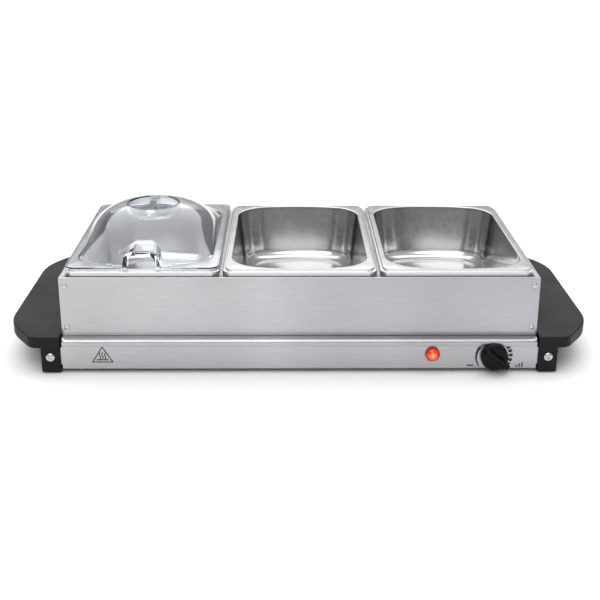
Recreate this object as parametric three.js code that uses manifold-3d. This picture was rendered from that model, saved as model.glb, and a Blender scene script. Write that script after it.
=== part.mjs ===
// Electric buffet server: a warming base with a hot plate, a lift-off steel frame
// and three lift-out food pans, one of them under a clear lid.
// Millimetres, +Z up. X runs along the server (knob end is +X), -Y is the front.
// The origin is on the surface the server stands on, under the middle of its box.

import * as THREE from 'three';
import { mergeVertices } from 'three/addons/utils/BufferGeometryUtils.js';
import Module from 'manifold-3d';

const wasm = await Module();
wasm.setup();

// ---------------------------------------------------------------- driving sizes

// Sheet metal and fits
const sheet = 0.8; // thickness of the folded steel sheet
const fit = 0.3; // gap kept between two pieces that are assembled together
const seat = 0.1; // gap under a screw head or a clamped flange
const past = 1; // how far a cutting body runs past the face it cuts
const tabLength = 14; // corner tab lapped behind the next wall
const tabLift = 0.5; // corner tab kept clear of the folds above and below it

// Warming base
const baseWidth = 501.4; // over the hot plate's skirt
const baseDepth = 290;
const plateTop = 37.7; // height of the hot plate's rim above the floor
const plateSheet = 1.0;
const skirtHeight = 7.6; // downturned edge of the hot plate
const plateCorner = 2;
const fieldRise = 1.5; // pressed field that centres the pan frame
const fieldGap = 0.8; // between the field and the frame's bottom flange
const fieldCorner = 10;
const wallBottom = 4.4; // lower edge of the base walls
const wallTopFlange = 10;
const wallBottomFlange = 14;
const coverDrop = 0.2; // bottom cover below the walls' flanges
const coverInset = 4; // cover's edge from the walls' outer faces
const coverCorner = 6;

// Pan frame
const frameInset = 0.7; // frame's end from the end of the hot plate
const frameInsetFront = 12.4; // the same, front and back
const frameTopFlange = 6.5;
const frameBottomFlange = 8;
const barWidth = 12; // cross bar between two pans
const barHeight = 12;

// Food pans
const panCount = 3;
const panGap = 3.0; // between two neighbouring rims
const panDepth = 65;
const panLift = 5.1; // gap between a pan's floor and the hot plate
const rimHeight = 6.7; // lip bottom to flange top
const rimMargin = 4.9; // rim set in from the frame's outer face, ends
const rimMarginFront = 4.5; // the same, front and back
const rimCorner = 12;
const rimLedge = 3; // width of the stepped outer ledge
const rimStep = 2.2; // drop from the flange to the ledge
const openingMargin = 7.7; // flange width beside the opening
const openingMarginEnd = 3.7; // flange width at the middle of the bowed ends
const openingCorner = 38;
const openingBow = 190; // radius of the bowed ends
const panTaper = 7; // draft of a pan wall, top to bottom
const panFillet = 12; // round between wall and floor
const panShoulder = 5; // depth of the rounded edge under the flange
const panShoulderInset = 1.3; // and how far it leans in

// Lid
const lidWall = 1.8;
const lidRise = 36.6; // dome height above the lid's flange
const lidInset = 0.4; // lid edge inside the pan rim's outline
const domeInset = 1; // dome's foot inside the pan's opening
const domeOval = 0.5; // level from 0 to 1 above which the dome's plan is a full oval
const domePoints = 40; // points round it
const gripWidth = 56; // oval finger recess, across the server
const gripLength = 60;
const gripDepth = 12;
const gripBar = 8; // bar left standing across the recess
const notchWidth = 29; // opening for a spoon handle
const notchHeight = 13.6; // above the lid's flange
const notchCorner = 9;
const hoodSide = 5.4; // thickness of the hood beside the opening
const hoodRoof = 4.3; // and above it
const hoodLength = 40; // from the lid's front edge to where it ends in the dome

// End handles
const wingReach = 62.2; // how far a handle stands out from the base
const wingRise = 2.9; // top of a handle above the hot plate
const wingThickness = 12;
const wingWall = 3;
const wingCorner = 14; // radius at the leg
const wingTip = 85; // radius where the slope meets the outer edge
const wingSlope = THREE.MathUtils.degToRad(57); // of the edge between them
const wingShoulder = 73; // from the end of a handle to the straight part of its edge
const wingEdge = 1.5; // bevel round the top edge
const ribCount = 4;
const ribWall = 2.2;
const legWidth = 20.3;
const legDepth = 36;
const legBottom = 1.2;
const legCorner = 2;
const roomRoof = 0.5; // leg's hollow below the wing's
const apronDrop = 12; // skirt between the legs, below the wing

// Rubber feet
const footRadius = 7.5;
const footHeight = 2.5;

// Control knob, thermostat and lamp
const knobInset = 46.5; // knob axis from the end of the base
const knobClear = 0.35; // knob's edge above the lower edge of the front wall
const knobRadius = 14.25;
const knobDisc = 5.4; // thickness of the disc
const knobHeight = 12.6; // over the grip
const knobGrip = 11; // thickness of the grip bar
const knobPointer = 19; // reach of the pointer from the axis
const knobStandoff = 0.8; // knob back face in front of the hot plate's skirt
const knobAngle = THREE.MathUtils.degToRad(128); // rest setting, clockwise from the top
const knobSocket = 8.6; // depth of its bore for the shaft
const shaftRadius = 3;
const shaftFlat = 0.9; // depth of the flat on its outer end
const shaftPlay = 1.2; // shaft in the hole in the front wall
const shaftDepth = 13; // shaft's length inside the thermostat
const bodyWidth = 30;
const bodyLength = 20;
const bodyHeight = 22;
const bodyScrewSpacing = 20;
const bodyScrewRadius = 1.5;
const bodyScrewLength = 8.5;
const lampSpacing = 64.9; // lamp from the knob
const lampClear = 1.5; // bezel below the hot plate's skirt
const lampRadius = 7.2;
const lampBarrel = 5.3;
const lampWall = 0.9; // wall of the bezel's barrel
const lampLength = 22;
const retainerSize = 17;
const retainerThickness = 1.2;

// Heater
const elementRadius = 3.3;
const elementRuns = 4;
const elementEnd = 10.3; // bends of the element from the end walls
const bendLap = 0.2; // bend run into the straight it joins
const pinRadius = 1.5;
const pinLength = 12;
const clampInset = 85; // clamp strap from the end of the straight runs
const clampWidth = 14;
const clampStrap = 1.2;
const clampReach = 12; // strap past the outer runs
const shieldDrop = 9; // heat shield below the clamps
const shieldGap = 10.6; // heat shield behind the thermostat
const shieldLip = 22; // heat shield past the outer runs of the element
const shieldEnd = 20.6; // heat shield from the end walls
const fuseX = 60;
const fuseRadius = 3.6;
const fuseLength = 18;
const fuseLead = 9;
const fuseWire = 0.8;

// Vent slots in the bottom cover, in three groups of five
const ventSpacing = 150;
const ventRows = 5;
const ventLength = 56;
const ventWidth = 4;
const ventPitch = 15;

// Cord inlet at the back, terminal block and wires
const glandInset = 60.7; // gland's axis from the end of the base
const glandRise = 14.6; // and above the lower edge of the rear wall
const glandBore = 3.6;
const glandNeck = 6;
const glandThread = 5.4;
const glandFlange = 9.5;
const glandFlangeThickness = 3;
const glandCollar = 7.4;
const glandNutRadius = 9;
const glandNutLength = 11;
const blockSpacing = 50; // terminal block from the gland
const blockLength = 40;
const blockDepth = 18;
const blockHeight = 15;
const blockWayPitch = 12;
const mainsWireRadius = 1.4;
const heaterWireRadius = 1.3;
const lampWireRadius = 1.1;

// Fasteners
const rivetRadius = 1.6;
const rivetHead = 2.8;
const rivetInset = 6; // from the end of the wall
const rivetLow = 9.4; // lower rivets above the frame's lower edge
const rivetHigh = 9.1; // upper rivets below its upper edge
const screwRadius = 2;
const screwHead = 4.75;
const screwHeadHeight = 2.6;
const screwLength = 13;
const screwRise = 17.4; // handle screw above the foot of the leg
const earBelow = 9.5; // ear below and above the handle screw that it takes
const earAbove = 9;
const earGap = 1.5; // ear inside the leg's outer wall
const coverScrewRadius = 1.6;
const coverScrewHead = 3.4;
const coverScrewInset = 21.7; // from the end of the base

// ------------------------------------------------------------------ derived sizes

const plateUnder = plateTop - plateSheet;
const skirtLow = plateTop - skirtHeight;
const wallX = baseWidth / 2 - plateSheet - fit; // outer face of the base's end walls
const wallY = baseDepth / 2 - plateSheet - fit; // outer face of its front and rear walls
const wallHeight = plateUnder - fit - wallBottom;
const frameWidth = baseWidth - 2 * frameInset;
const frameDepth = baseDepth - 2 * frameInsetFront;
const fieldWidth = frameWidth - 2 * (frameBottomFlange + fieldGap);
const fieldDepth = frameDepth - 2 * (frameBottomFlange + fieldGap);
const fieldTop = plateTop + fieldRise;
const fieldUnder = fieldTop - plateSheet;

const panFloor = fieldTop + panLift;
const rimTop = panFloor + panDepth;
const rimBottom = rimTop - rimHeight;
const frameTop = rimBottom - fit;
const frameBottom = plateTop + fit;
const frameHeight = frameTop - frameBottom;
const rivetHeights = [rivetLow, frameHeight - rivetHigh];

const rimLength = frameDepth - 2 * rimMarginFront;
const rimWidth = (frameWidth - 2 * rimMargin - (panCount - 1) * panGap) / panCount;
const panPitch = rimWidth + panGap;
const openingX = rimWidth / 2 - openingMargin;
const openingY = rimLength / 2 - openingMarginEnd;

const lidUnder = rimTop + fit;
const lidFlange = lidUnder + lidWall;
const lidLip = rimTop - rimStep + fit;
const lidTop = lidFlange + lidRise;
const gripFloor = lidTop - gripDepth;

const handleX = baseWidth / 2 + fit; // inner face of a handle
const wingX = baseWidth / 2 + wingReach;
const wingTop = plateTop + wingRise;
const wingLow = wingTop - wingThickness;
const wingStraight = baseDepth - 2 * wingShoulder;
const legMidX = handleX + legWidth / 2;
const handleScrewZ = legBottom + screwRise;

const wallFaceY = -wallY;
const knobX = baseWidth / 2 - knobInset;
const knobZ = wallBottom + knobRadius + knobClear;
const knobBackY = -baseDepth / 2 - knobStandoff;
const knobFrontY = knobBackY - knobHeight;
const bodyFront = wallFaceY + sheet + fit;
const bodyBack = bodyFront + bodyLength;
const lampX = knobX - lampSpacing;
const lampZ = skirtLow - lampClear - lampRadius;

const shieldDepth = 2 * (-bodyBack - shieldGap);
const shieldLength = 2 * (wallX - shieldEnd);
const elementPitch = (shieldDepth - 2 * shieldLip) / (elementRuns - 1);
const elementY = ((elementRuns - 1) * elementPitch) / 2; // of the outer runs
const elementRun = 2 * (wallX - sheet - elementEnd - elementRadius) - elementPitch;
const elementZ = fieldUnder - fit - elementRadius;
const clampLow = elementZ - elementRadius - fit - clampStrap;
const clampX = elementRun / 2 - clampInset;
const shieldTop = clampLow - shieldDrop;

const coverTop = wallBottom - coverDrop;
const coverScrewX = baseWidth / 2 - coverScrewInset;
const coverScrewY = wallY - wallBottomFlange / 2;
const glandX = baseWidth / 2 - glandInset;
const glandZ = wallBottom + glandRise;
const glandY = wallY + seat;
const glandNutY = glandY + glandFlangeThickness + fit;
const glandEndY = glandNutY + glandNutLength;
const blockX = glandX - blockSpacing;

// The box is as deep in front as behind, so the origin sits under its middle.
const originY = (-knobFrontY - glandEndY) / 2;

const corners = [[-1, -1, 'front_left'], [1, -1, 'front_right'], [-1, 1, 'rear_left'], [1, 1, 'rear_right']];

// ------------------------------------------------------------------------ finishes

const finishes = {
  brushedSteel: { color: 0xb9babd, roughness: 0.34, metalness: 1 },
  polishedSteel: { color: 0xc9cace, roughness: 0.2, metalness: 1 },
  zincSteel: { color: 0xa7aaac, roughness: 0.45, metalness: 1 },
  blackPlastic: { color: 0x232426, roughness: 0.55, metalness: 0 },
  clearPlastic: { color: 0xe6ecf2, roughness: 0.06, metalness: 0 },
  rubber: { color: 0x2a2a2b, roughness: 0.85, metalness: 0 },
  ceramic: { color: 0xe4ded0, roughness: 0.6, metalness: 0 },
  heaterSheath: { color: 0x5c5a57, roughness: 0.55, metalness: 1 },
  amberLens: { color: 0xe0391c, roughness: 0.15, metalness: 0 },
  glass: { color: 0xf2e6dc, roughness: 0.05, metalness: 0 },
  brownWire: { color: 0x6b3f22, roughness: 0.6, metalness: 0 },
  whiteWire: { color: 0xe8e4da, roughness: 0.7, metalness: 0 },
};

// ------------------------------------------------------------------- solid helpers

/** A closed three.js geometry as a solid that can be joined and cut. */
function solid(geometry) {
  const bare = geometry.clone();
  bare.deleteAttribute('normal');
  bare.deleteAttribute('uv');
  const merged = mergeVertices(bare, 1e-4);
  const corners = merged.index.array;
  const triangles = [];
  for (let i = 0; i < corners.length; i += 3) {
    const [a, b, c] = corners.slice(i, i + 3);
    if (a !== b && b !== c && c !== a) triangles.push(a, b, c);
  }
  return new wasm.Manifold(new wasm.Mesh({
    numProp: 3,
    vertProperties: new Float32Array(merged.attributes.position.array),
    triVerts: new Uint32Array(triangles),
  }));
}

const join = (first, ...rest) => rest.reduce((sum, piece) => sum.add(piece), first);
const cut = (body, ...tools) => tools.reduce((left, tool) => left.subtract(tool), body);
const ordered = (a, b) => [Math.min(a, b), Math.max(a, b)];

/** Adds a named mesh of the solid, in its own material, to a group. */
function place(group, name, body, finish, position = [0, 0, 0], turn = 0) {
  const { vertProperties, triVerts } = body.getMesh();
  const geometry = new THREE.BufferGeometry();
  geometry.setAttribute('position', new THREE.BufferAttribute(new Float32Array(vertProperties), 3));
  geometry.setIndex(new THREE.BufferAttribute(new Uint32Array(triVerts), 1));
  geometry.computeVertexNormals();
  const mesh = new THREE.Mesh(geometry, new THREE.MeshStandardMaterial(finishes[finish]));
  mesh.name = name;
  mesh.position.set(...position);
  mesh.rotation.z = turn;
  group.add(mesh);
  return mesh;
}

/** A box from its lowest to its highest corner. */
function block([x0, y0, z0], [x1, y1, z1]) {
  const box = new THREE.BoxGeometry(x1 - x0, y1 - y0, z1 - z0);
  return solid(box.translate((x0 + x1) / 2, (y0 + y1) / 2, (z0 + z1) / 2));
}

/** An outline in the XY plane, extruded from z0 up to z1. */
function slab(outline, z0, z1, curveSegments = 4) {
  const flat = new THREE.ExtrudeGeometry(outline, {
    depth: z1 - z0,
    bevelEnabled: false,
    curveSegments,
  });
  return solid(flat.translate(0, 0, z0));
}

/** An outline in the YZ plane, extruded along X over a length centred on x = 0. */
function channel(outline, length) {
  const bar = new THREE.ExtrudeGeometry(outline, { depth: length, bevelEnabled: false });
  const [alongY, alongZ, alongX] = [[0, 1, 0], [0, 0, 1], [1, 0, 0]].map((v) => new THREE.Vector3(...v));
  bar.translate(0, 0, -length / 2);
  return solid(bar.applyMatrix4(new THREE.Matrix4().makeBasis(alongY, alongZ, alongX)));
}

/** A polygon from a list of points. */
function polygon(points) {
  return new THREE.Shape(points.map(([u, v]) => new THREE.Vector2(u, v)));
}

/** A round bar along Y, Z or X through a point. */
function rod(axis, radius, from, to, [x, y, z], sides = 16) {
  const bar = new THREE.CylinderGeometry(radius, radius, to - from, sides);
  bar.translate(0, (from + to) / 2, 0);
  if (axis === 'z') bar.rotateX(Math.PI / 2);
  if (axis === 'x') bar.rotateZ(-Math.PI / 2);
  return solid(bar.translate(x, y, z));
}

/** A turned piece round the Y axis, from [radius, y] points in either direction. */
function turned(points, sides = 20) {
  const profile = points.map(([r, y]) => new THREE.Vector2(r, y));
  if (THREE.ShapeUtils.area(profile) < 0) profile.reverse();
  return solid(new THREE.LatheGeometry(profile, sides));
}

/** The outline as one polygon without repeated points, as a bevel needs it. */
function faceted(outline, divisions) {
  const points = outline.getPoints(divisions);
  const apart = (point, i) => point.distanceTo(points[(i + 1) % points.length]) > 1e-4;
  return new THREE.Shape(points.filter(apart));
}

/** A rectangle with rounded corners, centred on the origin. */
function roundedRectangle(width, length, radius) {
  const [x, y] = [width / 2 - radius, length / 2 - radius];
  const shape = new THREE.Shape();
  shape.absarc(x, y, radius, 0, Math.PI / 2);
  shape.absarc(-x, y, radius, Math.PI / 2, Math.PI);
  shape.absarc(-x, -y, radius, Math.PI, 1.5 * Math.PI);
  shape.absarc(x, -y, radius, 1.5 * Math.PI, 2 * Math.PI);
  return shape;
}

/** A rectangle whose ends along Y bow outwards, with round corners tangent to both. */
function bowedRectangle(halfX, halfY, corner, bow) {
  const bowY = halfY - bow;
  const cornerX = halfX - corner;
  const cornerY = bowY + Math.sqrt((bow - corner) ** 2 - cornerX ** 2);
  const turn = Math.atan2(cornerY - bowY, cornerX);
  const shape = new THREE.Shape();
  shape.absarc(cornerX, cornerY, corner, 0, turn);
  shape.absarc(0, bowY, bow, turn, Math.PI - turn);
  shape.absarc(-cornerX, cornerY, corner, Math.PI - turn, Math.PI);
  shape.absarc(-cornerX, -cornerY, corner, Math.PI, Math.PI + turn);
  shape.absarc(0, -bowY, bow, Math.PI + turn, 2 * Math.PI - turn);
  shape.absarc(cornerX, -cornerY, corner, 2 * Math.PI - turn, 2 * Math.PI);
  return shape;
}

/** A body whose outline is pulled in by rings[i].inset at the height rings[i].z. */
function tapered(outline, halfX, halfY, rings, curveSegments = 2) {
  const steps = rings.length - 1;
  const body = new THREE.ExtrudeGeometry(outline, {
    depth: steps,
    steps,
    bevelEnabled: false,
    curveSegments,
  });
  const position = body.attributes.position;
  for (let i = 0; i < position.count; i++) {
    const ring = rings[Math.round(position.getZ(i))];
    const x = position.getX(i) * (1 - ring.inset / halfX);
    const y = position.getY(i) * (1 - ring.inset / halfY);
    position.setXYZ(i, x, y, ring.z);
  }
  return solid(body);
}

// ------------------------------------------------------------------ folded walls

/**
 * A sheet wall along X with flanges folded in at top and bottom and mitred ends.
 * Its outer face is on y = 0, its inside is towards +y and its lower edge is on z = 0.
 */
function foldedWall(length, height, topFlange, bottomFlange) {
  const section = polygon([
    [0, 0], [bottomFlange, 0], [bottomFlange, sheet], [sheet, sheet],
    [sheet, height - sheet], [topFlange, height - sheet], [topFlange, height], [0, height],
  ]);
  const deep = Math.max(topFlange, bottomFlange) + past;
  const half = length / 2 - fit / Math.SQRT2;
  const [wide, narrow] = [half + past, half - deep];
  const mitre = polygon([[-wide, -past], [wide, -past], [narrow, deep], [-narrow, deep]]);
  return channel(section, length).intersect(slab(mitre, -past, height + past));
}

/** The two corner tabs that an end wall laps behind the front and rear walls. */
function cornerTabs(length, height) {
  const outer = length / 2 - sheet - fit;
  const lift = sheet + tabLift;
  return [-1, 1].map((side) => {
    const [low, high] = ordered(side * (outer - sheet), side * outer);
    return block([low, sheet / 2, lift], [high, sheet + tabLength, height - lift]);
  });
}

/** A round hole along Y through a wall, at x and a height above the wall's lower edge. */
const wallHole = (x, z, radius, sides) => rod('y', radius, -past, sheet + past, [x, 0, z], sides);

// ------------------------------------------------------------------- warming base

function makeHotPlate() {
  const edge = slab(roundedRectangle(baseWidth, baseDepth, plateCorner), skirtLow, plateTop);
  const field = slab(roundedRectangle(fieldWidth, fieldDepth, fieldCorner), plateUnder, fieldTop);
  const [x, y] = [baseWidth / 2 - plateSheet, baseDepth / 2 - plateSheet];
  const hollow = block([-x, -y, skirtLow - past], [x, y, plateUnder]);
  const wall = 2 * plateSheet;
  const fieldHollow = roundedRectangle(fieldWidth - wall, fieldDepth - wall, fieldCorner - plateSheet);
  return cut(join(edge, field), hollow, slab(fieldHollow, skirtLow, fieldUnder));
}

function makeFrontWall() {
  const wall = foldedWall(2 * wallX, wallHeight, wallTopFlange, wallBottomFlange);
  const holes = [
    wallHole(knobX, knobZ - wallBottom, shaftRadius + shaftPlay),
    wallHole(lampX, lampZ - wallBottom, lampBarrel + fit),
  ];
  for (const side of [-1, 1]) {
    holes.push(wallHole(knobX + (side * bodyScrewSpacing) / 2, knobZ - wallBottom, bodyScrewRadius + fit));
  }
  return cut(wall, ...holes, ...coverScrewHoles());
}

function makeRearWall() {
  const wall = foldedWall(2 * wallX, wallHeight, wallTopFlange, wallBottomFlange);
  return cut(wall, wallHole(-glandX, glandZ - wallBottom, glandNeck + fit), ...coverScrewHoles());
}

/** Holes for the cover's screws in a wall's lower flange, in the wall's own place. */
function coverScrewHoles() {
  const y = wallBottomFlange / 2;
  return [-1, 1].map((side) => {
    return rod('z', coverScrewRadius + fit, -past, sheet + past, [side * coverScrewX, y, 0], 12);
  });
}

/** An end wall, with an ear at each end that a handle's screw goes into. */
function makeEndWall() {
  const length = 2 * wallY;
  const wall = foldedWall(length, wallHeight, wallTopFlange, wallBottomFlange);
  const outer = baseDepth / 2 - wingWall - fit;
  const reach = handleX + legWidth - wingWall - earGap - wallX;
  const [earLow, earHigh] = [handleScrewZ - earBelow - wallBottom, handleScrewZ + earAbove - wallBottom];
  const ears = [-1, 1].map((side) => {
    const [low, high] = ordered(side * (outer - sheet), side * outer);
    const ear = block([low, -reach, earLow], [high, sheet / 2, earHigh]);
    const middle = [side * (outer - sheet / 2), wallX - legMidX, handleScrewZ - wallBottom];
    return ear.subtract(rod('x', screwRadius + fit, -sheet, sheet, middle, 12));
  });
  return join(wall, ...cornerTabs(length, wallHeight), ...ears);
}

function makeBottomCover() {
  const [halfX, halfY] = [wallX - coverInset, wallY - coverInset];
  const plate = roundedRectangle(2 * halfX, 2 * halfY, coverCorner);
  const [low, high] = [coverTop - sheet - past, coverTop + past];
  const holes = [];
  for (const [sideX, sideY] of corners) {
    const at = [sideX * coverScrewX, sideY * coverScrewY, 0];
    holes.push(rod('z', coverScrewRadius + fit, low, high, at, 12));
  }
  for (const x of [-ventSpacing, 0, ventSpacing]) {
    for (let row = 0; row < ventRows; row++) {
      const y = (row - (ventRows - 1) / 2) * ventPitch;
      holes.push(block(
        [x - ventLength / 2, y - ventWidth / 2, low],
        [x + ventLength / 2, y + ventWidth / 2, high],
      ));
    }
  }
  return cut(slab(plate, coverTop - sheet, coverTop), ...holes);
}

// ------------------------------------------------------------------------- heater

/** A bar of the element's section along a curve. */
function sheathAlong(path, steps) {
  const section = new THREE.Shape().absarc(0, 0, elementRadius, 0, 2 * Math.PI);
  return solid(new THREE.ExtrudeGeometry(section, {
    steps,
    extrudePath: path,
    curveSegments: 4,
  }));
}

/** The tubular element: straight runs joined by half-round bends, with a cold pin at each end. */
function makeElement() {
  const half = elementRun / 2;
  const bend = elementPitch / 2;
  const pieces = [];
  for (let run = 0; run < elementRuns; run++) {
    const y = run * elementPitch - elementY;
    const line = new THREE.LineCurve3(
      new THREE.Vector3(-half, y, elementZ),
      new THREE.Vector3(half, y, elementZ),
    );
    pieces.push(sheathAlong(line, 1));
    if (run === elementRuns - 1) break;
    const side = run % 2 ? 1 : -1;
    const arc = new THREE.CatmullRomCurve3(halfRound(side * (half - bendLap), y + bend, bend, side));
    pieces.push(sheathAlong(arc, 10));
  }
  for (const y of [-elementY, elementY]) {
    pieces.push(rod('x', pinRadius, half - pinRadius, half + pinLength, [0, y, elementZ], 10));
  }
  return join(...pieces);
}

/** Points of a half circle in plan that bulges towards side. */
function halfRound(x, y, radius, side) {
  const points = [];
  for (let i = 0; i <= 10; i++) {
    const angle = -Math.PI / 2 + (Math.PI * i) / 10;
    const [out, along] = [side * radius * Math.cos(angle), radius * Math.sin(angle)];
    points.push(new THREE.Vector3(x + out, y + along, elementZ));
  }
  return points;
}

/** A strap that holds the element up against the plate. */
function makeClamp() {
  const half = elementY + elementRadius + clampReach;
  const inner = half - clampStrap;
  const high = fieldUnder - fit;
  const floor = clampLow + clampStrap;
  const section = polygon([
    [-half, clampLow], [half, clampLow], [half, high], [inner, high],
    [inner, floor], [-inner, floor], [-inner, high], [-half, high],
  ]);
  return channel(section, clampWidth);
}

/** The shield under the heater: a shallow hat over the bottom cover. */
function makeReflector() {
  const half = shieldDepth / 2;
  const inner = half - sheet;
  const low = coverTop + fit;
  const section = polygon([
    [-half, low], [-inner, low], [-inner, shieldTop - sheet],
    [inner, shieldTop - sheet], [inner, low], [half, low], [half, shieldTop], [-half, shieldTop],
  ]);
  return channel(section, shieldLength);
}

/** Cut-out that trips if the plate overheats, with a lead stub at each end. */
function makeThermalFuse() {
  const half = fuseLength / 2;
  const round = 0.4;
  return turned([
    [0, -half - fuseLead], [fuseWire, -half - fuseLead], [fuseWire, -half], [fuseRadius - round, -half],
    [fuseRadius, 1 - half], [fuseRadius, half - 1], [fuseRadius - round, half], [fuseWire, half],
    [fuseWire, half + fuseLead], [0, half + fuseLead],
  ], 12);
}

// --------------------------------------------------------------- knob, lamp, inlet

function makeThermostat() {
  const body = block(
    [knobX - bodyWidth / 2, bodyFront, knobZ - bodyHeight / 2],
    [knobX + bodyWidth / 2, bodyBack, knobZ + bodyHeight / 2],
  );
  const from = bodyFront - past;
  const bores = [rod('y', shaftRadius + fit, from, bodyFront + shaftDepth + fit, [knobX, 0, knobZ])];
  for (const side of [-1, 1]) {
    const x = knobX + (side * bodyScrewSpacing) / 2;
    bores.push(rod('y', bodyScrewRadius + fit, from, bodyFront + bodyScrewLength, [x, 0, knobZ], 12));
  }
  return cut(body, ...bores);
}

/** Flat-headed screw that fixes the thermostat to the wall, head at y < 0. */
function makeThermostatScrew() {
  const radius = bodyScrewRadius;
  return turned([
    [0, -1.5], [radius + 0.9, -1.5], [radius + 1.4, -1.1], [radius + 1.4, 0],
    [radius, 0], [radius, bodyScrewLength], [0, bodyScrewLength],
  ], 12);
}

/** Thermostat shaft with a flat on its outer end, on the y axis of its own place. */
function makeShaft() {
  const inner = bodyFront + shaftDepth;
  const outer = knobBackY - knobSocket + fit * 2;
  const bar = rod('y', shaftRadius, outer, inner, [0, 0, 0]);
  const across = shaftRadius + past;
  const flat = block([-across, outer - past, shaftRadius - shaftFlat], [across, knobBackY, across]);
  return bar.subtract(flat);
}

/** Control knob: a disc, a grip bar across it and a pointer at its edge. Back face on y = 0. */
function makeKnob() {
  const disc = turned([
    [0, 0], [knobRadius - 0.8, 0], [knobRadius, -0.8], [knobRadius, 2 - knobDisc],
    [knobRadius - 1.6, -knobDisc], [0, -knobDisc],
  ], 24);
  const reach = knobRadius - 0.6;
  const spread = 0.38; // half the angle that an end of the grip takes up
  const bevel = 1.1;
  const bar = new THREE.Shape();
  bar.absarc(0, 0, reach, -spread, spread);
  bar.absarc(0, 0, reach, Math.PI - spread, Math.PI + spread);
  const grip = new THREE.ExtrudeGeometry(faceted(bar, 4), {
    depth: knobHeight - 2 * bevel,
    bevelThickness: bevel,
    bevelSize: bevel,
    bevelOffset: -bevel,
    bevelSegments: 2,
  });
  const thickness = knobGrip / (2 * reach * Math.sin(spread));
  grip.translate(0, 0, bevel).scale(1, thickness, 1).rotateX(Math.PI / 2);
  const root = knobRadius - 3;
  const nose = polygon([[root, -4], [knobPointer, -2.6], [knobPointer, 2.6], [root, 4]]);
  const pointer = new THREE.ExtrudeGeometry(nose, { depth: knobDisc - 1.4, bevelEnabled: false });
  pointer.rotateX(Math.PI / 2).translate(0, -0.4, 0);
  // The bar and the pointer lie along +X until the knob is turned to its setting.
  const turn = new THREE.Matrix4().makeRotationY(knobAngle - Math.PI / 2);
  const tops = [grip, pointer].map((piece) => solid(piece.applyMatrix4(turn)));
  const socket = rod('y', shaftRadius + fit, -knobSocket, past, [0, 0, 0]);
  return cut(join(disc, ...tops), socket);
}

/** Bezel of the pilot lamp: flange outside, barrel through the wall, blind bore from the front. */
function makeLampBezel() {
  const bore = lampBarrel - lampWall;
  const floor = lampLength - 3;
  return turned([
    [0, floor], [bore, floor], [bore, -2], [lampRadius - lampWall, -2], [lampRadius - lampWall, -3.2],
    [lampRadius, -2.4], [lampRadius, 0], [lampBarrel, 0], [lampBarrel, lampLength], [0, lampLength],
  ], 16);
}

/** Lens of the pilot lamp: a plug in the bezel's bore under a domed cap in front of its flange. */
function makeLampLens() {
  const cap = lampRadius - lampWall - fit;
  const plug = lampBarrel - lampWall - fit;
  const [seatY, edgeY, height, steps] = [-2 - fit, -3.4, 3.6, 5];
  const dome = [];
  for (let i = 0; i < steps; i++) {
    const angle = (Math.PI / 2) * (i / steps);
    dome.push([cap * Math.cos(angle), edgeY - height * Math.sin(angle)]);
  }
  return turned([[0, 2], [plug, 2], [plug, seatY], [cap, seatY], ...dome, [0, edgeY - height]], 16);
}

function makeNeonLamp() {
  const radius = (lampBarrel - lampWall) * 0.6;
  return turned([[0, 4], [radius * 0.7, 4.5], [radius, 6], [radius, 15], [0, 15]], 12);
}

function makeLampRetainer() {
  const plate = slab(roundedRectangle(retainerSize, retainerSize, 3), 0, retainerThickness);
  const hole = rod('z', lampBarrel + fit, -past, retainerThickness + past, [0, 0, 0]);
  return plate.subtract(hole).rotate([90, 0, 0]);
}

/** Gland in the rear wall: flange outside, neck through the wall, collar inside, open bore. */
function makeGland() {
  const [inner, inside] = [-sheet - 2 * seat, -sheet - 8];
  const flange = glandFlangeThickness;
  return turned([
    [glandBore, glandNutLength], [glandThread, glandNutLength], [glandThread, flange],
    [glandFlange, flange], [glandFlange, 0], [glandNeck, 0], [glandNeck, inner],
    [glandCollar, inner], [glandCollar, inside + 2], [glandNeck, inside], [glandBore, inside],
    [glandBore, glandNutLength],
  ], 16);
}

/** Dome nut that closes the gland on a cord. */
function makeGlandNut() {
  const slope = 4;
  const hexagon = turned([
    [0, 0], [glandNutRadius, 0], [glandNutRadius, glandNutLength - slope],
    [glandNutRadius - 2.4, glandNutLength], [0, glandNutLength],
  ], 6);
  const thread = rod('y', glandThread + fit, -past, glandNutLength - 2, [0, 0, 0]);
  const bore = rod('y', glandBore + fit, -past, glandNutLength + past, [0, 0, 0]);
  return cut(hexagon, thread, bore);
}

/** Terminal block with three ways through it, standing on z = 0. */
function makeTerminalBlock() {
  const [x, y] = [blockLength / 2, blockDepth / 2];
  const ways = [-1, 0, 1].map((way) => rod('y', 2, -y - past, y + past, [way * blockWayPitch, 0, 6], 10));
  return cut(block([-x, -y, 0], [x, y, blockHeight]), ...ways);
}

/** An insulated lead along a smooth curve through its points. */
function makeWire(points, radius) {
  const path = new THREE.CatmullRomCurve3(points.map((p) => new THREE.Vector3(...p)));
  const section = new THREE.Shape().absarc(0, 0, radius, 0, 2 * Math.PI);
  const steps = Math.ceil(path.getLength() / (9 * radius));
  return solid(new THREE.ExtrudeGeometry(section, { steps, extrudePath: path, curveSegments: 3 }));
}

// ----------------------------------------------------------------------- handles

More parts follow.
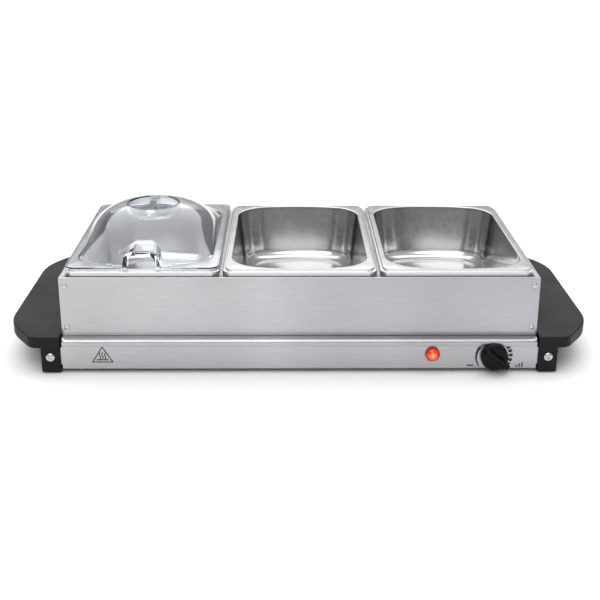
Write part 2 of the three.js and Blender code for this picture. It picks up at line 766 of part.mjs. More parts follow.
/** Plan of the right-hand wing, pulled in on every side by inset. */
function wingOutline(inset = 0) {
  const edgeY = baseDepth / 2;
  const [corner, tip] = [wingCorner - inset, wingTip - inset];
  const lean = Math.PI / 2 - wingSlope;
  const tipX = wingX - wingTip;
  const tipY = wingStraight / 2;
  const cornerY = edgeY - wingCorner;
  // Centre of the corner arc that puts both arcs on one tangent line.
  const rise = cornerY - tipY + (wingCorner - wingTip) * Math.sin(lean);
  const cornerX = tipX + (wingTip - wingCorner) * Math.cos(lean) - rise / Math.tan(wingSlope);
  const shape = new THREE.Shape();
  shape.moveTo(handleX + inset, -edgeY + inset);
  shape.lineTo(cornerX, -edgeY + inset);
  shape.absarc(cornerX, -cornerY, corner, -Math.PI / 2, -lean);
  shape.absarc(tipX, -tipY, tip, -lean, 0);
  shape.absarc(tipX, tipY, tip, 0, lean);
  shape.absarc(cornerX, cornerY, corner, lean, Math.PI / 2);
  shape.lineTo(handleX + inset, edgeY - inset);
  return shape;
}

/** Right-hand end handle: hollow wing with ribs below, and two hollow legs down to the floor. */
function makeHandle() {
  const edgeY = baseDepth / 2;
  const crust = new THREE.ExtrudeGeometry(faceted(wingOutline(), 3), {
    depth: wingThickness - 2 * wingEdge,
    bevelThickness: wingEdge,
    bevelSize: wingEdge,
    bevelOffset: -wingEdge,
    bevelSegments: 2,
  });
  const wing = solid(crust.translate(0, 0, wingLow + wingEdge));
  const hollow = slab(wingOutline(wingWall), wingLow - past, wingTop - wingWall, 3);

  const legOuterX = handleX + legWidth;
  const legInner = edgeY - legDepth;
  const legHeight = wingTop - wingWall - legBottom;
  const [legs, rooms] = [[], []];
  for (const side of [-1, 1]) {
    const [low, high] = ordered(side * legInner, side * edgeY);
    const front = roundedRectangle(legWidth, legHeight, legCorner);
    const leg = slab(front, -legDepth / 2, legDepth / 2, 2).rotate([90, 0, 0]);
    legs.push(leg.translate([legMidX, (low + high) / 2, legBottom + legHeight / 2]));
    rooms.push(block(
      [handleX - past, low + wingWall, legBottom + wingWall],
      [legOuterX - wingWall, high - wingWall, wingTop - wingWall - roomRoof],
    ));
    const screwAt = [legMidX, side * (edgeY - wingWall / 2), handleScrewZ];
    rooms.push(rod('y', screwRadius + fit, -wingWall, wingWall, screwAt));
    const footAt = [legMidX, side * (edgeY - legDepth / 2), 0];
    rooms.push(rod('z', footRadius + fit, -past, footHeight + seat, footAt, 20));
  }
  const apron = block(
    [legOuterX - wingWall, past - legInner, wingLow - apronDrop],
    [legOuterX, legInner - past, wingTop - past],
  );
  const ribs = [];
  for (let i = 0; i < ribCount; i++) {
    const y = ((i - (ribCount - 1) / 2) * wingStraight) / (ribCount - 1);
    ribs.push(block(
      [legOuterX - past, y - ribWall / 2, wingLow + wingEdge],
      [wingX - wingWall / 2, y + ribWall / 2, wingTop - past],
    ));
  }
  return cut(join(cut(wing, hollow), ...legs, apron, ...ribs), ...rooms);
}

// --------------------------------------------------------------------- pan frame

/** Front or rear wall of the pan frame, with the rivet holes near its ends. */
function makeFrameWall() {
  const wall = foldedWall(frameWidth, frameHeight, frameTopFlange, frameBottomFlange);
  const holes = [];
  for (const side of [-1, 1]) {
    for (const z of rivetHeights) {
      holes.push(wallHole(side * (frameWidth / 2 - rivetInset), z, rivetRadius + fit, 10));
    }
  }
  return cut(wall, ...holes);
}

/** End wall of the pan frame, whose tabs take the rivets. */
function makeFrameEnd() {
  const wall = foldedWall(frameDepth, frameHeight, frameTopFlange, frameBottomFlange);
  const tabs = cornerTabs(frameDepth, frameHeight);
  const holes = [];
  for (const side of [-1, 1]) {
    for (const z of rivetHeights) {
      const at = [(side * frameDepth) / 2, rivetInset, z];
      holes.push(rod('x', rivetRadius + fit, -rivetInset, rivetInset, at, 10));
    }
  }
  return cut(join(wall, ...tabs), ...holes);
}

/** Cross bar under two neighbouring rims: an inverted channel tucked under the flanges. */
function makeCrossBar() {
  const under = frameHeight - sheet - fit;
  const halfLong = frameDepth / 2 - sheet - fit;
  const halfShort = frameDepth / 2 - frameTopFlange - fit;
  const half = barWidth / 2;
  const low = under - barHeight;
  const body = block([-half, -halfLong, low], [half, halfLong, under]);
  const inside = block(
    [sheet - half, -halfLong - past, low - past],
    [half - sheet, halfLong + past, under - sheet],
  );
  const cap = block([-half, -halfShort, under - sheet / 2], [half, halfShort, frameHeight]);
  return join(cut(body, inside), cap);
}

/** Blind rivet with its head on y < 0, through the wall and the tab behind it. */
function makeRivet() {
  const back = 2 * sheet + fit + seat;
  const tail = rivetHead - 0.4;
  return turned([
    [0, -1.4], [1.5, -1.15], [rivetHead, -seat], [rivetRadius, -seat],
    [rivetRadius, back], [tail, back], [tail, back + 1], [0, back + 1.4],
  ], 10);
}

// --------------------------------------------------------------------- food pans

/** A pan rim's outline, pulled in by inset. */
function rimPlan(inset) {
  return roundedRectangle(rimWidth - 2 * inset, rimLength - 2 * inset, rimCorner - inset);
}

/** Rings of a pan body from the floor up to a height, for a wall grown by out. */
function panRings(out, floor, top) {
  const turns = 3;
  const rings = [];
  for (let i = 0; i <= turns; i++) {
    const angle = (Math.PI / 2) * (i / turns);
    const inset = panTaper + panFillet * (1 - Math.sin(angle));
    rings.push({ z: floor + panFillet * (1 - Math.cos(angle)), inset: inset - out });
  }
  rings.push({ z: rimTop - panShoulder, inset: panShoulderInset - out });
  rings.push({ z: top, inset: -out });
  return rings;
}

/** A food pan: stepped rim with a downturned lip, drafted walls and a filleted floor. */
function makePan() {
  const ledgeTop = rimTop - rimStep;
  const rim = join(
    slab(rimPlan(0), rimBottom, ledgeTop, 2),
    slab(rimPlan(rimLedge), ledgeTop - sheet, rimTop, 2),
  );
  const under = join(
    slab(rimPlan(sheet), rimBottom - past, ledgeTop - sheet, 2),
    slab(rimPlan(rimLedge + sheet), rimBottom - past, rimTop - sheet, 2),
  );
  const opening = bowedRectangle(openingX, openingY, openingCorner, openingBow);
  const wall = tapered(opening, openingX, openingY, panRings(sheet, panFloor, rimTop - sheet / 2));
  const room = tapered(opening, openingX, openingY, panRings(0, panFloor + sheet, rimTop + past));
  return cut(join(cut(rim, under), wall), room);
}

// --------------------------------------------------------------------------- lid

/** Width and length of the dome at a level from 0 at its foot to 1, as shares of those at the foot. */
const domeShares = (level) => [(1 - level ** 2) ** (1 / 2.2), (1 - level ** (1 / 0.9)) ** (1 / 2)];

/** Rings of the dome from its foot to its flat crown, for a wall thinned by inset. */
function domeRings(inset, foot) {
  const levels = [0, 0.2, 0.4, 0.6, 0.78, 0.9, 0.955];
  const crown = levels[levels.length - 1];
  const rings = levels.map((level) => {
    return { z: lidFlange + ((lidRise - inset) * level) / crown, level };
  });
  return [{ z: foot, level: 0 }, ...rings];
}

/** A dome over the pan's opening, round over its length and fuller across its width. */
function dome(inset, foot) {
  const outline = bowedRectangle(openingX, openingY, openingCorner, openingBow);
  const rings = domeRings(inset, foot);
  const body = new THREE.ExtrudeGeometry(new THREE.Shape(outline.getSpacedPoints(domePoints).slice(1)), {
    depth: rings.length - 1,
    steps: rings.length - 1,
    bevelEnabled: false,
  });
  const position = body.attributes.position;
  const [narrowX, narrowY] = [openingX, openingY].map((half) => 1 - (domeInset + inset) / half);
  for (let i = 0; i < position.count; i++) {
    const { z, level } = rings[Math.round(position.getZ(i))];
    const oval = Math.sin((Math.PI / 2) * Math.min(1, level / domeOval));
    const [x, y] = [position.getX(i), position.getY(i)];
    const angle = Math.atan2(y / openingY, x / openingX);
    const [shareX, shareY] = domeShares(level);
    position.setXYZ(
      i,
      THREE.MathUtils.lerp(x, openingX * Math.cos(angle), oval) * shareX * narrowX,
      THREE.MathUtils.lerp(y, openingY * Math.sin(angle), oval) * shareY * narrowY,
      z,
    );
  }
  return solid(body);
}

/** An arch in the XZ plane: upright sides and a round-cornered top. */
function arch(width, low, high, radius) {
  const half = width / 2;
  const shape = new THREE.Shape();
  shape.moveTo(-half, low);
  shape.lineTo(half, low);
  shape.absarc(half - radius, high - radius, radius, 0, Math.PI / 2);
  shape.absarc(radius - half, high - radius, radius, Math.PI / 2, Math.PI);
  return shape;
}

/** The arch outline as a tunnel along Y. */
function tunnel(outline, y0, y1) {
  const bar = new THREE.ExtrudeGeometry(outline, {
    depth: y1 - y0,
    bevelEnabled: false,
    curveSegments: 4,
  });
  return solid(bar.rotateX(Math.PI / 2).translate(0, y1, 0));
}

/** Oval post of the finger recess, grown by out. */
function gripOval(out, z0, z1) {
  const oval = new THREE.Shape().absellipse(0, 0, gripWidth / 2 + out, gripLength / 2 + out, 0, 2 * Math.PI);
  return slab(oval, z0, z1, 8);
}

/** Clear lid: flange over the rim, crowned dome, sunk grip and a hooded spoon notch. */
function makeLid() {
  const lipOuter = slab(rimPlan(lidInset), lidLip, lidFlange, 2);
  const lipRoom = slab(rimPlan(lidInset + lidWall), lidLip - past, lidUnder, 2);
  const shellOuter = dome(0, lidFlange - lidWall / 2);
  const shellRoom = dome(lidWall, lidUnder - past);

  const front = lidInset - rimLength / 2;
  const notchTop = lidFlange + notchHeight;
  const hoodWidth = notchWidth + 2 * hoodSide;
  const hoodTop = notchTop + hoodRoof;
  const hood = tunnel(arch(hoodWidth, lidLip, hoodTop, notchCorner + hoodRoof), front, front + hoodLength);
  const way = tunnel(
    arch(notchWidth, lidLip - past, notchTop, notchCorner),
    front - past,
    front + hoodLength + past,
  );

  const high = lidTop + past;
  const well = gripOval(lidWall, gripFloor - lidWall, high);
  const pocket = gripOval(0, gripFloor, high);
  const bar = block(
    [-gripBar / 2, -gripLength / 2 - past, gripFloor - lidWall / 2],
    [gripBar / 2, gripLength / 2 + past, high],
  );

  const room = join(lipRoom, shellRoom.subtract(well));
  const shell = cut(join(lipOuter, shellOuter, hood), room, way, pocket);
  return shell.add(bar.intersect(shellOuter));
}

// --------------------------------------------------------------------- fasteners

/** A pan-head screw along Y with its head on y < 0. */
function makeScrew(radius, headRadius, headHeight, length) {
  return turned([
    [0, -headHeight], [headRadius * 0.62, -headHeight * 0.86], [headRadius, -headHeight * 0.3],
    [headRadius, -seat], [radius, -seat], [radius, length], [0, length],
  ], 12);
}

// ---------------------------------------------------------------------- assembly

const server = new THREE.Group();
server.name = 'buffet_server';
server.position.y = originY;

const base = new THREE.Group();
const panFrame = new THREE.Group();
const knob = new THREE.Group();
const pans = new THREE.Group();
const lid = new THREE.Group();
server.add(base, knob, panFrame, pans, lid);

// Base shell
place(base, 'hot_plate', makeHotPlate(), 'brushedSteel');
place(base, 'base_front_wall', makeFrontWall(), 'brushedSteel', [0, -wallY, wallBottom]);
place(base, 'base_rear_wall', makeRearWall(), 'brushedSteel', [0, wallY, wallBottom], Math.PI);
place(base, 'base_left_wall', makeEndWall(), 'brushedSteel', [-wallX, 0, wallBottom], -Math.PI / 2);
place(base, 'base_right_wall', makeEndWall(), 'brushedSteel', [wallX, 0, wallBottom], Math.PI / 2);
place(base, 'bottom_cover', makeBottomCover(), 'zincSteel');

// Handles, their screws and feet, and the cover's screws
const handle = makeHandle();
place(base, 'right_handle', handle, 'blackPlastic');
place(base, 'left_handle', handle, 'blackPlastic', [0, 0, 0], Math.PI);
const handleScrew = makeScrew(screwRadius, screwHead, screwHeadHeight, screwLength);
const coverScrew = makeScrew(coverScrewRadius, coverScrewHead, 1.7, 6).rotate([90, 0, 0]);
const foot = rod('z', footRadius, 0, footHeight, [0, 0, 0], 20);
for (const [sideX, sideY, corner] of corners) {
  const turn = sideY > 0 ? Math.PI : 0;
  const screwAt = [sideX * legMidX, (sideY * baseDepth) / 2, handleScrewZ];
  place(base, `handle_screw_${corner}`, handleScrew, 'polishedSteel', screwAt, turn);
  const coverAt = [sideX * coverScrewX, sideY * coverScrewY, coverTop - sheet];
  place(base, `cover_screw_${corner}`, coverScrew, 'zincSteel', coverAt);
  place(base, `foot_${corner}`, foot, 'rubber', [sideX * legMidX, (sideY * (baseDepth - legDepth)) / 2, 0]);
}

// Heater
place(base, 'heating_element', makeElement(), 'heaterSheath');
place(base, 'element_clamp_left', makeClamp(), 'zincSteel', [-clampX, 0, 0]);
place(base, 'element_clamp_right', makeClamp(), 'zincSteel', [clampX, 0, 0]);
place(base, 'heat_reflector', makeReflector(), 'zincSteel');
place(base, 'thermal_fuse', makeThermalFuse(), 'ceramic', [fuseX, elementY - elementPitch / 2, elementZ]);

// Thermostat and pilot lamp
place(base, 'thermostat_body', makeThermostat(), 'ceramic');
for (const [side, label] of [[-1, 'left'], [1, 'right']]) {
  const at = [knobX + (side * bodyScrewSpacing) / 2, wallFaceY - seat, knobZ];
  place(base, `thermostat_screw_${label}`, makeThermostatScrew(), 'zincSteel', at);
}
const lampAt = [lampX, wallFaceY - seat, lampZ];
place(base, 'lamp_bezel', makeLampBezel(), 'blackPlastic', lampAt);
place(base, 'lamp_lens', makeLampLens(), 'amberLens', lampAt);
place(base, 'neon_lamp', makeNeonLamp(), 'glass', lampAt);
const retainerY = wallFaceY + sheet + retainerThickness + fit;
place(base, 'lamp_retainer', makeLampRetainer(), 'zincSteel', [lampX, retainerY, lampZ]);

// Cord inlet and wiring
place(base, 'cord_gland', makeGland(), 'blackPlastic', [glandX, glandY, glandZ]);
place(base, 'gland_nut', makeGlandNut(), 'blackPlastic', [glandX, glandNutY, glandZ]);
const blockY = wallY - sheet - blockDepth / 2 - 3;
place(base, 'terminal_block', makeTerminalBlock(), 'ceramic', [blockX, blockY, wallBottom + sheet + fit]);

const wireX = wallX - 8; // where the mains wire runs past the heat shield
const wireZ = coverTop + 7;
const bodySide = knobX - bodyWidth / 2;
const pinX = elementRun / 2 + pinLength + 2;
place(base, 'mains_wire', makeWire([
  [glandX, wallY - sheet - 9, glandZ], [glandX + 20, wallY - 17, wireZ + 3],
  [wireX - 6, wallY - 28, wireZ], [wireX, 60, wireZ], [wireX, -60, wireZ],
  [wireX - 5, bodyBack + 8, wireZ], [knobX + 15, bodyBack + 5, wireZ + 1],
  [knobX + 6, bodyBack + 1.6, knobZ - 6],
], mainsWireRadius), 'brownWire');
place(base, 'heater_wire_front', makeWire([
  [knobX + 9, bodyBack + 1.5, knobZ + 6], [knobX + 11, bodyBack + 12, elementZ - 9],
  [pinX, -elementY - 12, elementZ - 3], [pinX, -elementY - 2, elementZ],
], heaterWireRadius), 'whiteWire');
place(base, 'heater_wire_rear', makeWire([
  [blockX + blockLength / 2 + 0.5, blockY, wallBottom + 9.6], [blockX + 40, blockY - 8, wallBottom + 12.6],
  [pinX - 4, elementY + 22, elementZ - 8.6], [pinX, elementY + 2, elementZ],
], heaterWireRadius), 'whiteWire');
place(base, 'lamp_wire', makeWire([
  [lampX, wallFaceY + lampLength + 1, lampZ], [lampX + 5, wallFaceY + lampLength + 5, lampZ - 2],
  [bodySide - 12, bodyBack, knobZ - 4], [bodySide - 1.3, bodyBack - 6, knobZ - 5],
], lampWireRadius), 'whiteWire');

// Knob and the shaft it turns
place(knob, 'control_knob', makeKnob(), 'blackPlastic', [knobX, knobBackY, knobZ]);
place(knob, 'thermostat_shaft', makeShaft(), 'zincSteel', [knobX, 0, knobZ]);

// Pan frame
panFrame.position.z = frameBottom;
const [frameX, frameY] = [frameWidth / 2, frameDepth / 2];
place(panFrame, 'frame_front_wall', makeFrameWall(), 'brushedSteel', [0, -frameY, 0]);
place(panFrame, 'frame_rear_wall', makeFrameWall(), 'brushedSteel', [0, frameY, 0], Math.PI);
place(panFrame, 'frame_left_wall', makeFrameEnd(), 'brushedSteel', [-frameX, 0, 0], -Math.PI / 2);
place(panFrame, 'frame_right_wall', makeFrameEnd(), 'brushedSteel', [frameX, 0, 0], Math.PI / 2);
place(panFrame, 'cross_bar_left', makeCrossBar(), 'brushedSteel', [-panPitch / 2, 0, 0]);
place(panFrame, 'cross_bar_right', makeCrossBar(), 'brushedSteel', [panPitch / 2, 0, 0]);
const rivet = makeRivet();
for (const [sideX, sideY, corner] of corners) {
  const turn = sideY > 0 ? Math.PI : 0;
  rivetHeights.forEach((height, row) => {
    const at = [sideX * (frameX - rivetInset), sideY * frameY, height];
    place(panFrame, `rivet_${corner}_${row ? 'upper' : 'lower'}`, rivet, 'polishedSteel', at, turn);
  });
}

// Pans and lid
const pan = makePan();
['left', 'middle', 'right'].forEach((label, index) => {
  place(pans, `food_pan_${label}`, pan, 'polishedSteel', [(index - 1) * panPitch, 0, 0]);
});
lid.position.x = -panPitch;
place(lid, 'lid', makeLid(), 'clearPlastic');

export default server;
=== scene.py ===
"""Electric buffet server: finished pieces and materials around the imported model."""

import logging
import math
from dataclasses import dataclass, field
from enum import Enum
from typing import Iterable, Sequence

import bmesh
import bpy
from mathutils import Matrix, Vector


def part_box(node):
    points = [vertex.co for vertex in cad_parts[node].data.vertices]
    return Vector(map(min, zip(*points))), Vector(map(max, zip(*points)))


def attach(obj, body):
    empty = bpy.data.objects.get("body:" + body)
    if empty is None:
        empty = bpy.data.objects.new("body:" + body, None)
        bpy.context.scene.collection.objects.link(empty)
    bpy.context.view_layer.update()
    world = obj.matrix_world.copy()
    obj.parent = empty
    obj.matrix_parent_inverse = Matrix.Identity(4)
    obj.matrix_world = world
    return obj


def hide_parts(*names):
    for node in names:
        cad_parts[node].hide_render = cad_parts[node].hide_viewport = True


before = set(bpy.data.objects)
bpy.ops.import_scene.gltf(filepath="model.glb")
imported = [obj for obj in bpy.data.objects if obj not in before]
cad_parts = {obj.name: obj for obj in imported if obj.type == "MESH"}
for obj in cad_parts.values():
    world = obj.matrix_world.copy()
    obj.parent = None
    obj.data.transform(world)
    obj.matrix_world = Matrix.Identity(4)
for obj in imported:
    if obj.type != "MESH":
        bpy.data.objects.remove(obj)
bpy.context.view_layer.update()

log = logging.getLogger("buffet_server")

MM = 0.001  # metres in a millimetre
SHEET = 0.8  # thickness of the folded and drawn sheet, mm
EAR_REACH, EAR_HALF = 18.0, 9.5  # the base's ears for a handle's screws: length and half width, mm
CORNERS = ("front_left", "front_right", "rear_left", "rear_right")
NEAR = 1e-3  # points closer than this count as one, mm
FULL_TURN = 2 * math.pi
QUARTER_TURN = math.pi / 2

Point = Sequence[float]
Pair = tuple[float, float]
Material = bpy.types.Material
Socket = bpy.types.NodeSocket
BMesh, BMVert = bmesh.types.BMesh, bmesh.types.BMVert
BMEdge, BMFace = bmesh.types.BMEdge, bmesh.types.BMFace
Edges = list[BMEdge]


class Axis(Enum):
    """The direction along which a piece is brushed."""

    X = (1, 0, 0)
    Y = (0, 1, 0)


# ---------------------------------------------------------------- measuring


@dataclass(frozen=True)
class Span:
    """The box of one or more CAD nodes, in millimetres."""

    low: Vector
    high: Vector

    @classmethod
    def of(cls, *nodes: str) -> "Span":
        """Measures CAD nodes.

        Args:
            nodes: Names of the nodes.

        Returns:
            The box that holds all of them.
        """
        corners = [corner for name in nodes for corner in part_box(name)]
        low = Vector([min(c[i] for c in corners) for i in range(3)]) / MM
        high = Vector([max(c[i] for c in corners) for i in range(3)]) / MM
        return cls(low, high)

    @property
    def middle(self) -> Vector:
        """The centre of the box."""
        return (self.low + self.high) / 2

    @property
    def size(self) -> Vector:
        """The lengths of the box's sides."""
        return self.high - self.low


# ------------------------------------------------------------------ shaping


class Pen:
    """Draws an outline: lines by extruding a vertex, arcs by spinning it."""

    def __init__(self, bm: BMesh, start: Point) -> None:
        """Starts an outline at a point."""
        self.bm = bm
        self.known = set(bm.edges)
        self.first = self.last = bm.verts.new(start)

    def line_to(self, point: Point) -> "Pen":
        """Draws a straight line.

        Args:
            point: Where the line ends.

        Returns:
            The pen.
        """
        made = bmesh.ops.extrude_vert_indiv(self.bm, verts=[self.last])
        self.last = made["verts"][0]
        self.last.co = Vector(point)
        return self

    def arc(self, centre: Point, turn: float, steps: int = 8, axis: Point = (0, 0, 1)) -> "Pen":
        """Draws an arc of a circle.

        Args:
            centre: Centre of the circle.
            turn: Angle of the arc in radians, positive about the axis.
            steps: Number of straight pieces.
            axis: Axis of the circle.

        Returns:
            The pen.
        """
        made = bmesh.ops.spin(
            self.bm, geom=[self.last], cent=centre, axis=axis, dvec=(0, 0, 0),
            angle=turn, steps=steps, use_merge=False, use_duplicate=False,
        )
        self.last = next(g for g in made["geom_last"] if isinstance(g, BMVert))
        return self

    def close(self) -> Edges:
        """Joins the end to the start.

        Returns:
            The edges of the closed outline.
        """
        if (self.last.co - self.first.co).length > NEAR:
            self.bm.edges.new((self.last, self.first))
        else:
            bmesh.ops.pointmerge(self.bm, verts=[self.last, self.first], merge_co=self.first.co)
        return [e for e in self.bm.edges if e not in self.known]


def rounded_rectangle(
    bm: BMesh, half_x: float, half_y: float, radius: float, z: float, steps: int = 8
) -> Edges:
    """Draws a rectangle with round corners about the Z axis.

    Args:
        bm: The mesh to draw in.
        half_x: Half its width.
        half_y: Half its length.
        radius: Radius of the corners.
        z: Its height.
        steps: Straight pieces in each corner.

    Returns:
        The edges of the outline.
    """
    x, y = half_x - radius, half_y - radius
    pen = Pen(bm, (half_x, -y, z)).line_to((half_x, y, z)).arc((x, y, z), QUARTER_TURN, steps)
    pen.line_to((-x, half_y, z)).arc((-x, y, z), QUARTER_TURN, steps)
    pen.line_to((-half_x, -y, z)).arc((-x, -y, z), QUARTER_TURN, steps)
    return pen.line_to((x, -half_y, z)).arc((x, -y, z), QUARTER_TURN, steps).close()


def bowed_rectangle(
    bm: BMesh, half_x: float, half_y: float, corner: float, bow: float, z: float
) -> Edges:
    """Draws a rectangle whose short ends bow outwards, with tangent round corners.

    Args:
        bm: The mesh to draw in.
        half_x: Half its width.
        half_y: Half its length at the middle of the bowed ends.
        corner: Radius of the corners.
        bow: Radius of the bowed ends.
        z: Its height.

    Returns:
        The edges of the outline.
    """
    bow_y = half_y - bow
    x = half_x - corner
    y = bow_y + math.sqrt((bow - corner) ** 2 - x**2)
    turn = math.atan2(y - bow_y, x)
    pen = Pen(bm, (half_x, -y, z)).line_to((half_x, y, z))
    for side in (1, -1):
        pen.arc((side * x, side * y, z), turn, 12)
        pen.arc((0, side * bow_y, z), math.pi - 2 * turn, 20)
        pen.arc((-side * x, side * y, z), turn, 12)
        if side > 0:
            pen.line_to((-half_x, -y, z))
    return pen.close()


def fill(bm: BMesh, edges: Edges) -> BMFace:
    """Closes an outline with one face.

    Args:
        bm: The mesh.
        edges: The outline.

    Returns:
        The new face.
    """
    return bmesh.ops.contextual_create(bm, geom=edges)["faces"][0]


def push(
    bm: BMesh, edges: Edges, move: Point = (0, 0, 0), scale: Point = (1, 1, 1)
) -> Edges:
    """Extrudes an outline and moves and scales the new edge about the Z axis.

    Args:
        bm: The mesh.
        edges: The outline.
        move: How far the new outline is moved.
        scale: How much it is scaled before that.

    Returns:
        The edges of the new outline.
    """
    made = bmesh.ops.extrude_edge_only(bm, edges=edges)["geom"]
    verts = [g for g in made if isinstance(g, BMVert)]
    bmesh.ops.scale(bm, vec=scale, verts=verts)
    bmesh.ops.translate(bm, vec=move, verts=verts)
    fresh = set(verts)
    return [g for g in made if isinstance(g, BMEdge) and set(g.verts) <= fresh]


def descend(
    bm: BMesh, ring: Edges, half: Pair, stations: Sequence[Point]
) -> Edges:
    """Extrudes a ring along a path of insets and heights.

    Args:
        bm: The mesh.
        ring: The ring, which lies at the first station.
        half: Half the width and length at an inset of 0.
        stations: Pairs of inset and height.

    Returns:
        The last ring.
    """
    for (inset, height), (next_inset, next_height) in zip(stations, stations[1:]):
        shrink = [(side - next_inset) / (side - inset) for side in half]
        ring = push(bm, ring, (0, 0, next_height - height), (*shrink, 1))
    return ring


def bend(
    start: Pair, end: Pair, flat_first: bool, steps: int = 5
) -> list[Pair]:
    """A quarter round between two stations.

    Args:
        start: Inset and height where it starts.
        end: Inset and height where it ends.
        flat_first: Whether it starts level and ends upright.
        steps: Straight pieces in it.

    Returns:
        The stations along it, without the first.
    """
    path = []
    for i in range(1, steps + 1):
        angle = QUARTER_TURN * i / steps
        along, down = (math.sin(angle), 1 - math.cos(angle))
        if not flat_first:
            along, down = down, along
        path.append((start[0] + (end[0] - start[0]) * along, start[1] + (end[1] - start[1]) * down))
    return path


def rise(bm: BMesh, face: BMFace, move: Point) -> list[BMFace]:
    """Extrudes a face into a solid.

    Args:
        bm: The mesh.
        face: The face.
        move: The way and distance to extrude.

    Returns:
        The faces at the far end.
    """
    made = bmesh.ops.extrude_face_region(bm, geom=[face])["geom"]
    bmesh.ops.translate(bm, vec=move, verts=[g for g in made if isinstance(g, BMVert)])
    return [g for g in made if isinstance(g, BMFace)]


def soften(
    bm: BMesh, edges: Iterable[BMEdge], width: float, segments: int = 3
) -> None:
    """Rounds edges.

    Args:
        bm: The mesh.
        edges: The edges to round.
        width: How far the round reaches from each edge.
        segments: Straight pieces in the round.
    """
    bmesh.ops.bevel(
        bm, geom=list(edges), offset=width, offset_type="OFFSET", segments=segments,
        profile=0.5, affect="EDGES", clamp_overlap=True, material=-1, loop_slide=True,
    )


def edges_at(bm: BMesh, axis: int, *places: float) -> Edges:
    """The edges that lie wholly at one of some places along an axis."""
    return [
        e for e in bm.edges
        if any(all(abs(v.co[axis] - place) < NEAR for v in e.verts) for place in places)
    ]


def box(bm: BMesh, low: Point, high: Point) -> list[BMVert]:
    """Adds a box.

    Args:
        bm: The mesh.
        low: Its lowest corner.
        high: Its highest corner.

    Returns:
        Its vertices.
    """
    size = Vector(high) - Vector(low)
    place = Matrix.Translation((Vector(low) + Vector(high)) / 2) @ Matrix.Diagonal((*size, 1))
    return bmesh.ops.create_cube(bm, size=1, matrix=place)["verts"]


def turned(profile: Sequence[Point], centre: Point, steps: int = 48) -> BMesh:
    """Turns a profile round an axis along Y.

    Args:
        profile: Points as (radius, distance along Y).
        centre: A point on the axis, where the distance is 0.
        steps: Number of faces round the piece.

    Returns:
        The turned solid.
    """
    bm = bmesh.new()
    at = Vector(centre)
    pen = Pen(bm, at + Vector((profile[0][0], profile[0][1], 0)))
    for radius, along in profile[1:]:
        pen.line_to(at + Vector((radius, along, 0)))
    bmesh.ops.spin(
        bm, geom=list(bm.verts) + list(bm.edges), cent=at, axis=(0, 1, 0), dvec=(0, 0, 0),
        angle=FULL_TURN, steps=steps, use_merge=True, use_duplicate=False,
    )
    bmesh.ops.remove_doubles(bm, verts=bm.verts, dist=NEAR)
    bmesh.ops.recalc_face_normals(bm, faces=bm.faces)
    return bm


def orient(bm: BMesh, way: Point, looks: Point | None = None) -> None:
    """Points an open surface's faces one way.

    Args:
        bm: The mesh.
        way: Direction in which the testing face lies farthest out.
        looks: Direction that this face has to look, or None for the same direction.
    """
    bmesh.ops.recalc_face_normals(bm, faces=bm.faces)
    outermost = max(bm.faces, key=lambda f: f.calc_center_median().dot(Vector(way)))
    if outermost.normal.dot(Vector(looks or way)) < 0:
        bmesh.ops.reverse_faces(bm, faces=bm.faces)


def place(bm: BMesh, move: Point, turn: float = 0.0, axis: str = "Z") -> BMesh:
    """Turns a mesh about the origin and then moves it.

    Args:
        bm: The mesh.
        move: How far it is moved.
        turn: Angle in radians.
        axis: Name of the axis it is turned about.

    Returns:
        The same mesh.
    """
    bmesh.ops.rotate(bm, cent=(0, 0, 0), matrix=Matrix.Rotation(turn, 3, axis), verts=bm.verts)
    bmesh.ops.translate(bm, vec=move, verts=bm.verts)
    return bm


def join(first: BMesh, *others: BMesh) -> BMesh:
    """Joins closed solids."""
    for other in others:
        first = combine(first, other, "UNION")
    return first


def cut(first: BMesh, *others: BMesh) -> BMesh:
    """Takes closed solids away from another."""
    for other in others:
        first = combine(first, other, "DIFFERENCE")
    return first


def block(low: Point, high: Point, soft: float = 0.0) -> BMesh:
    """A box as a solid of its own, with rounded edges if soft is given."""
    bm = bmesh.new()
    box(bm, low, high)
    if soft:
        soften(bm, bm.edges[:], soft, 3)
    return bm


def as_object(bm: BMesh, name: str) -> bpy.types.Object:
    """Makes an object in metres from a mesh in millimetres.

    Args:
        bm: The mesh, which is freed.
        name: The object's name.

    Returns:
        The object, at the origin.
    """
    bmesh.ops.scale(bm, vec=(MM, MM, MM), verts=bm.verts)
    mesh = bpy.data.meshes.new(name)
    bm.to_mesh(mesh)
    bm.free()
    piece = bpy.data.objects.new(name, mesh)
    bpy.context.scene.collection.objects.link(piece)
    return piece


def combine(
    first: BMesh, other: BMesh, how: str
) -> BMesh:
    """Joins, cuts or intersects two closed solids.

    Args:
        first: The solid that is kept or changed.
        other: The solid that is added, taken away or kept in common.
        how: UNION, DIFFERENCE or INTERSECT.

    Returns:
        The result in millimetres; both inputs are freed.
    """
    for solid in (first, other):
        bmesh.ops.recalc_face_normals(solid, faces=solid.faces)
    pair = [as_object(first, "left_solid"), as_object(other, "right_solid")]
    step = pair[0].modifiers.new("Solid", "BOOLEAN")
    step.operation = how
    step.solver = "EXACT"
    step.object = pair[1]
    result = bpy.data.meshes.new_from_object(pair[0].evaluated_get(bpy.context.evaluated_depsgraph_get()))
    bm = bmesh.new()
    bm.from_mesh(result)
    bmesh.ops.scale(bm, vec=(1 / MM,) * 3, verts=bm.verts)
    bmesh.ops.remove_doubles(bm, verts=bm.verts, dist=NEAR)
    for piece in pair:
        mesh = piece.data
        bpy.data.objects.remove(piece)
        bpy.data.meshes.remove(mesh)
    bpy.data.meshes.remove(result)
    return bm


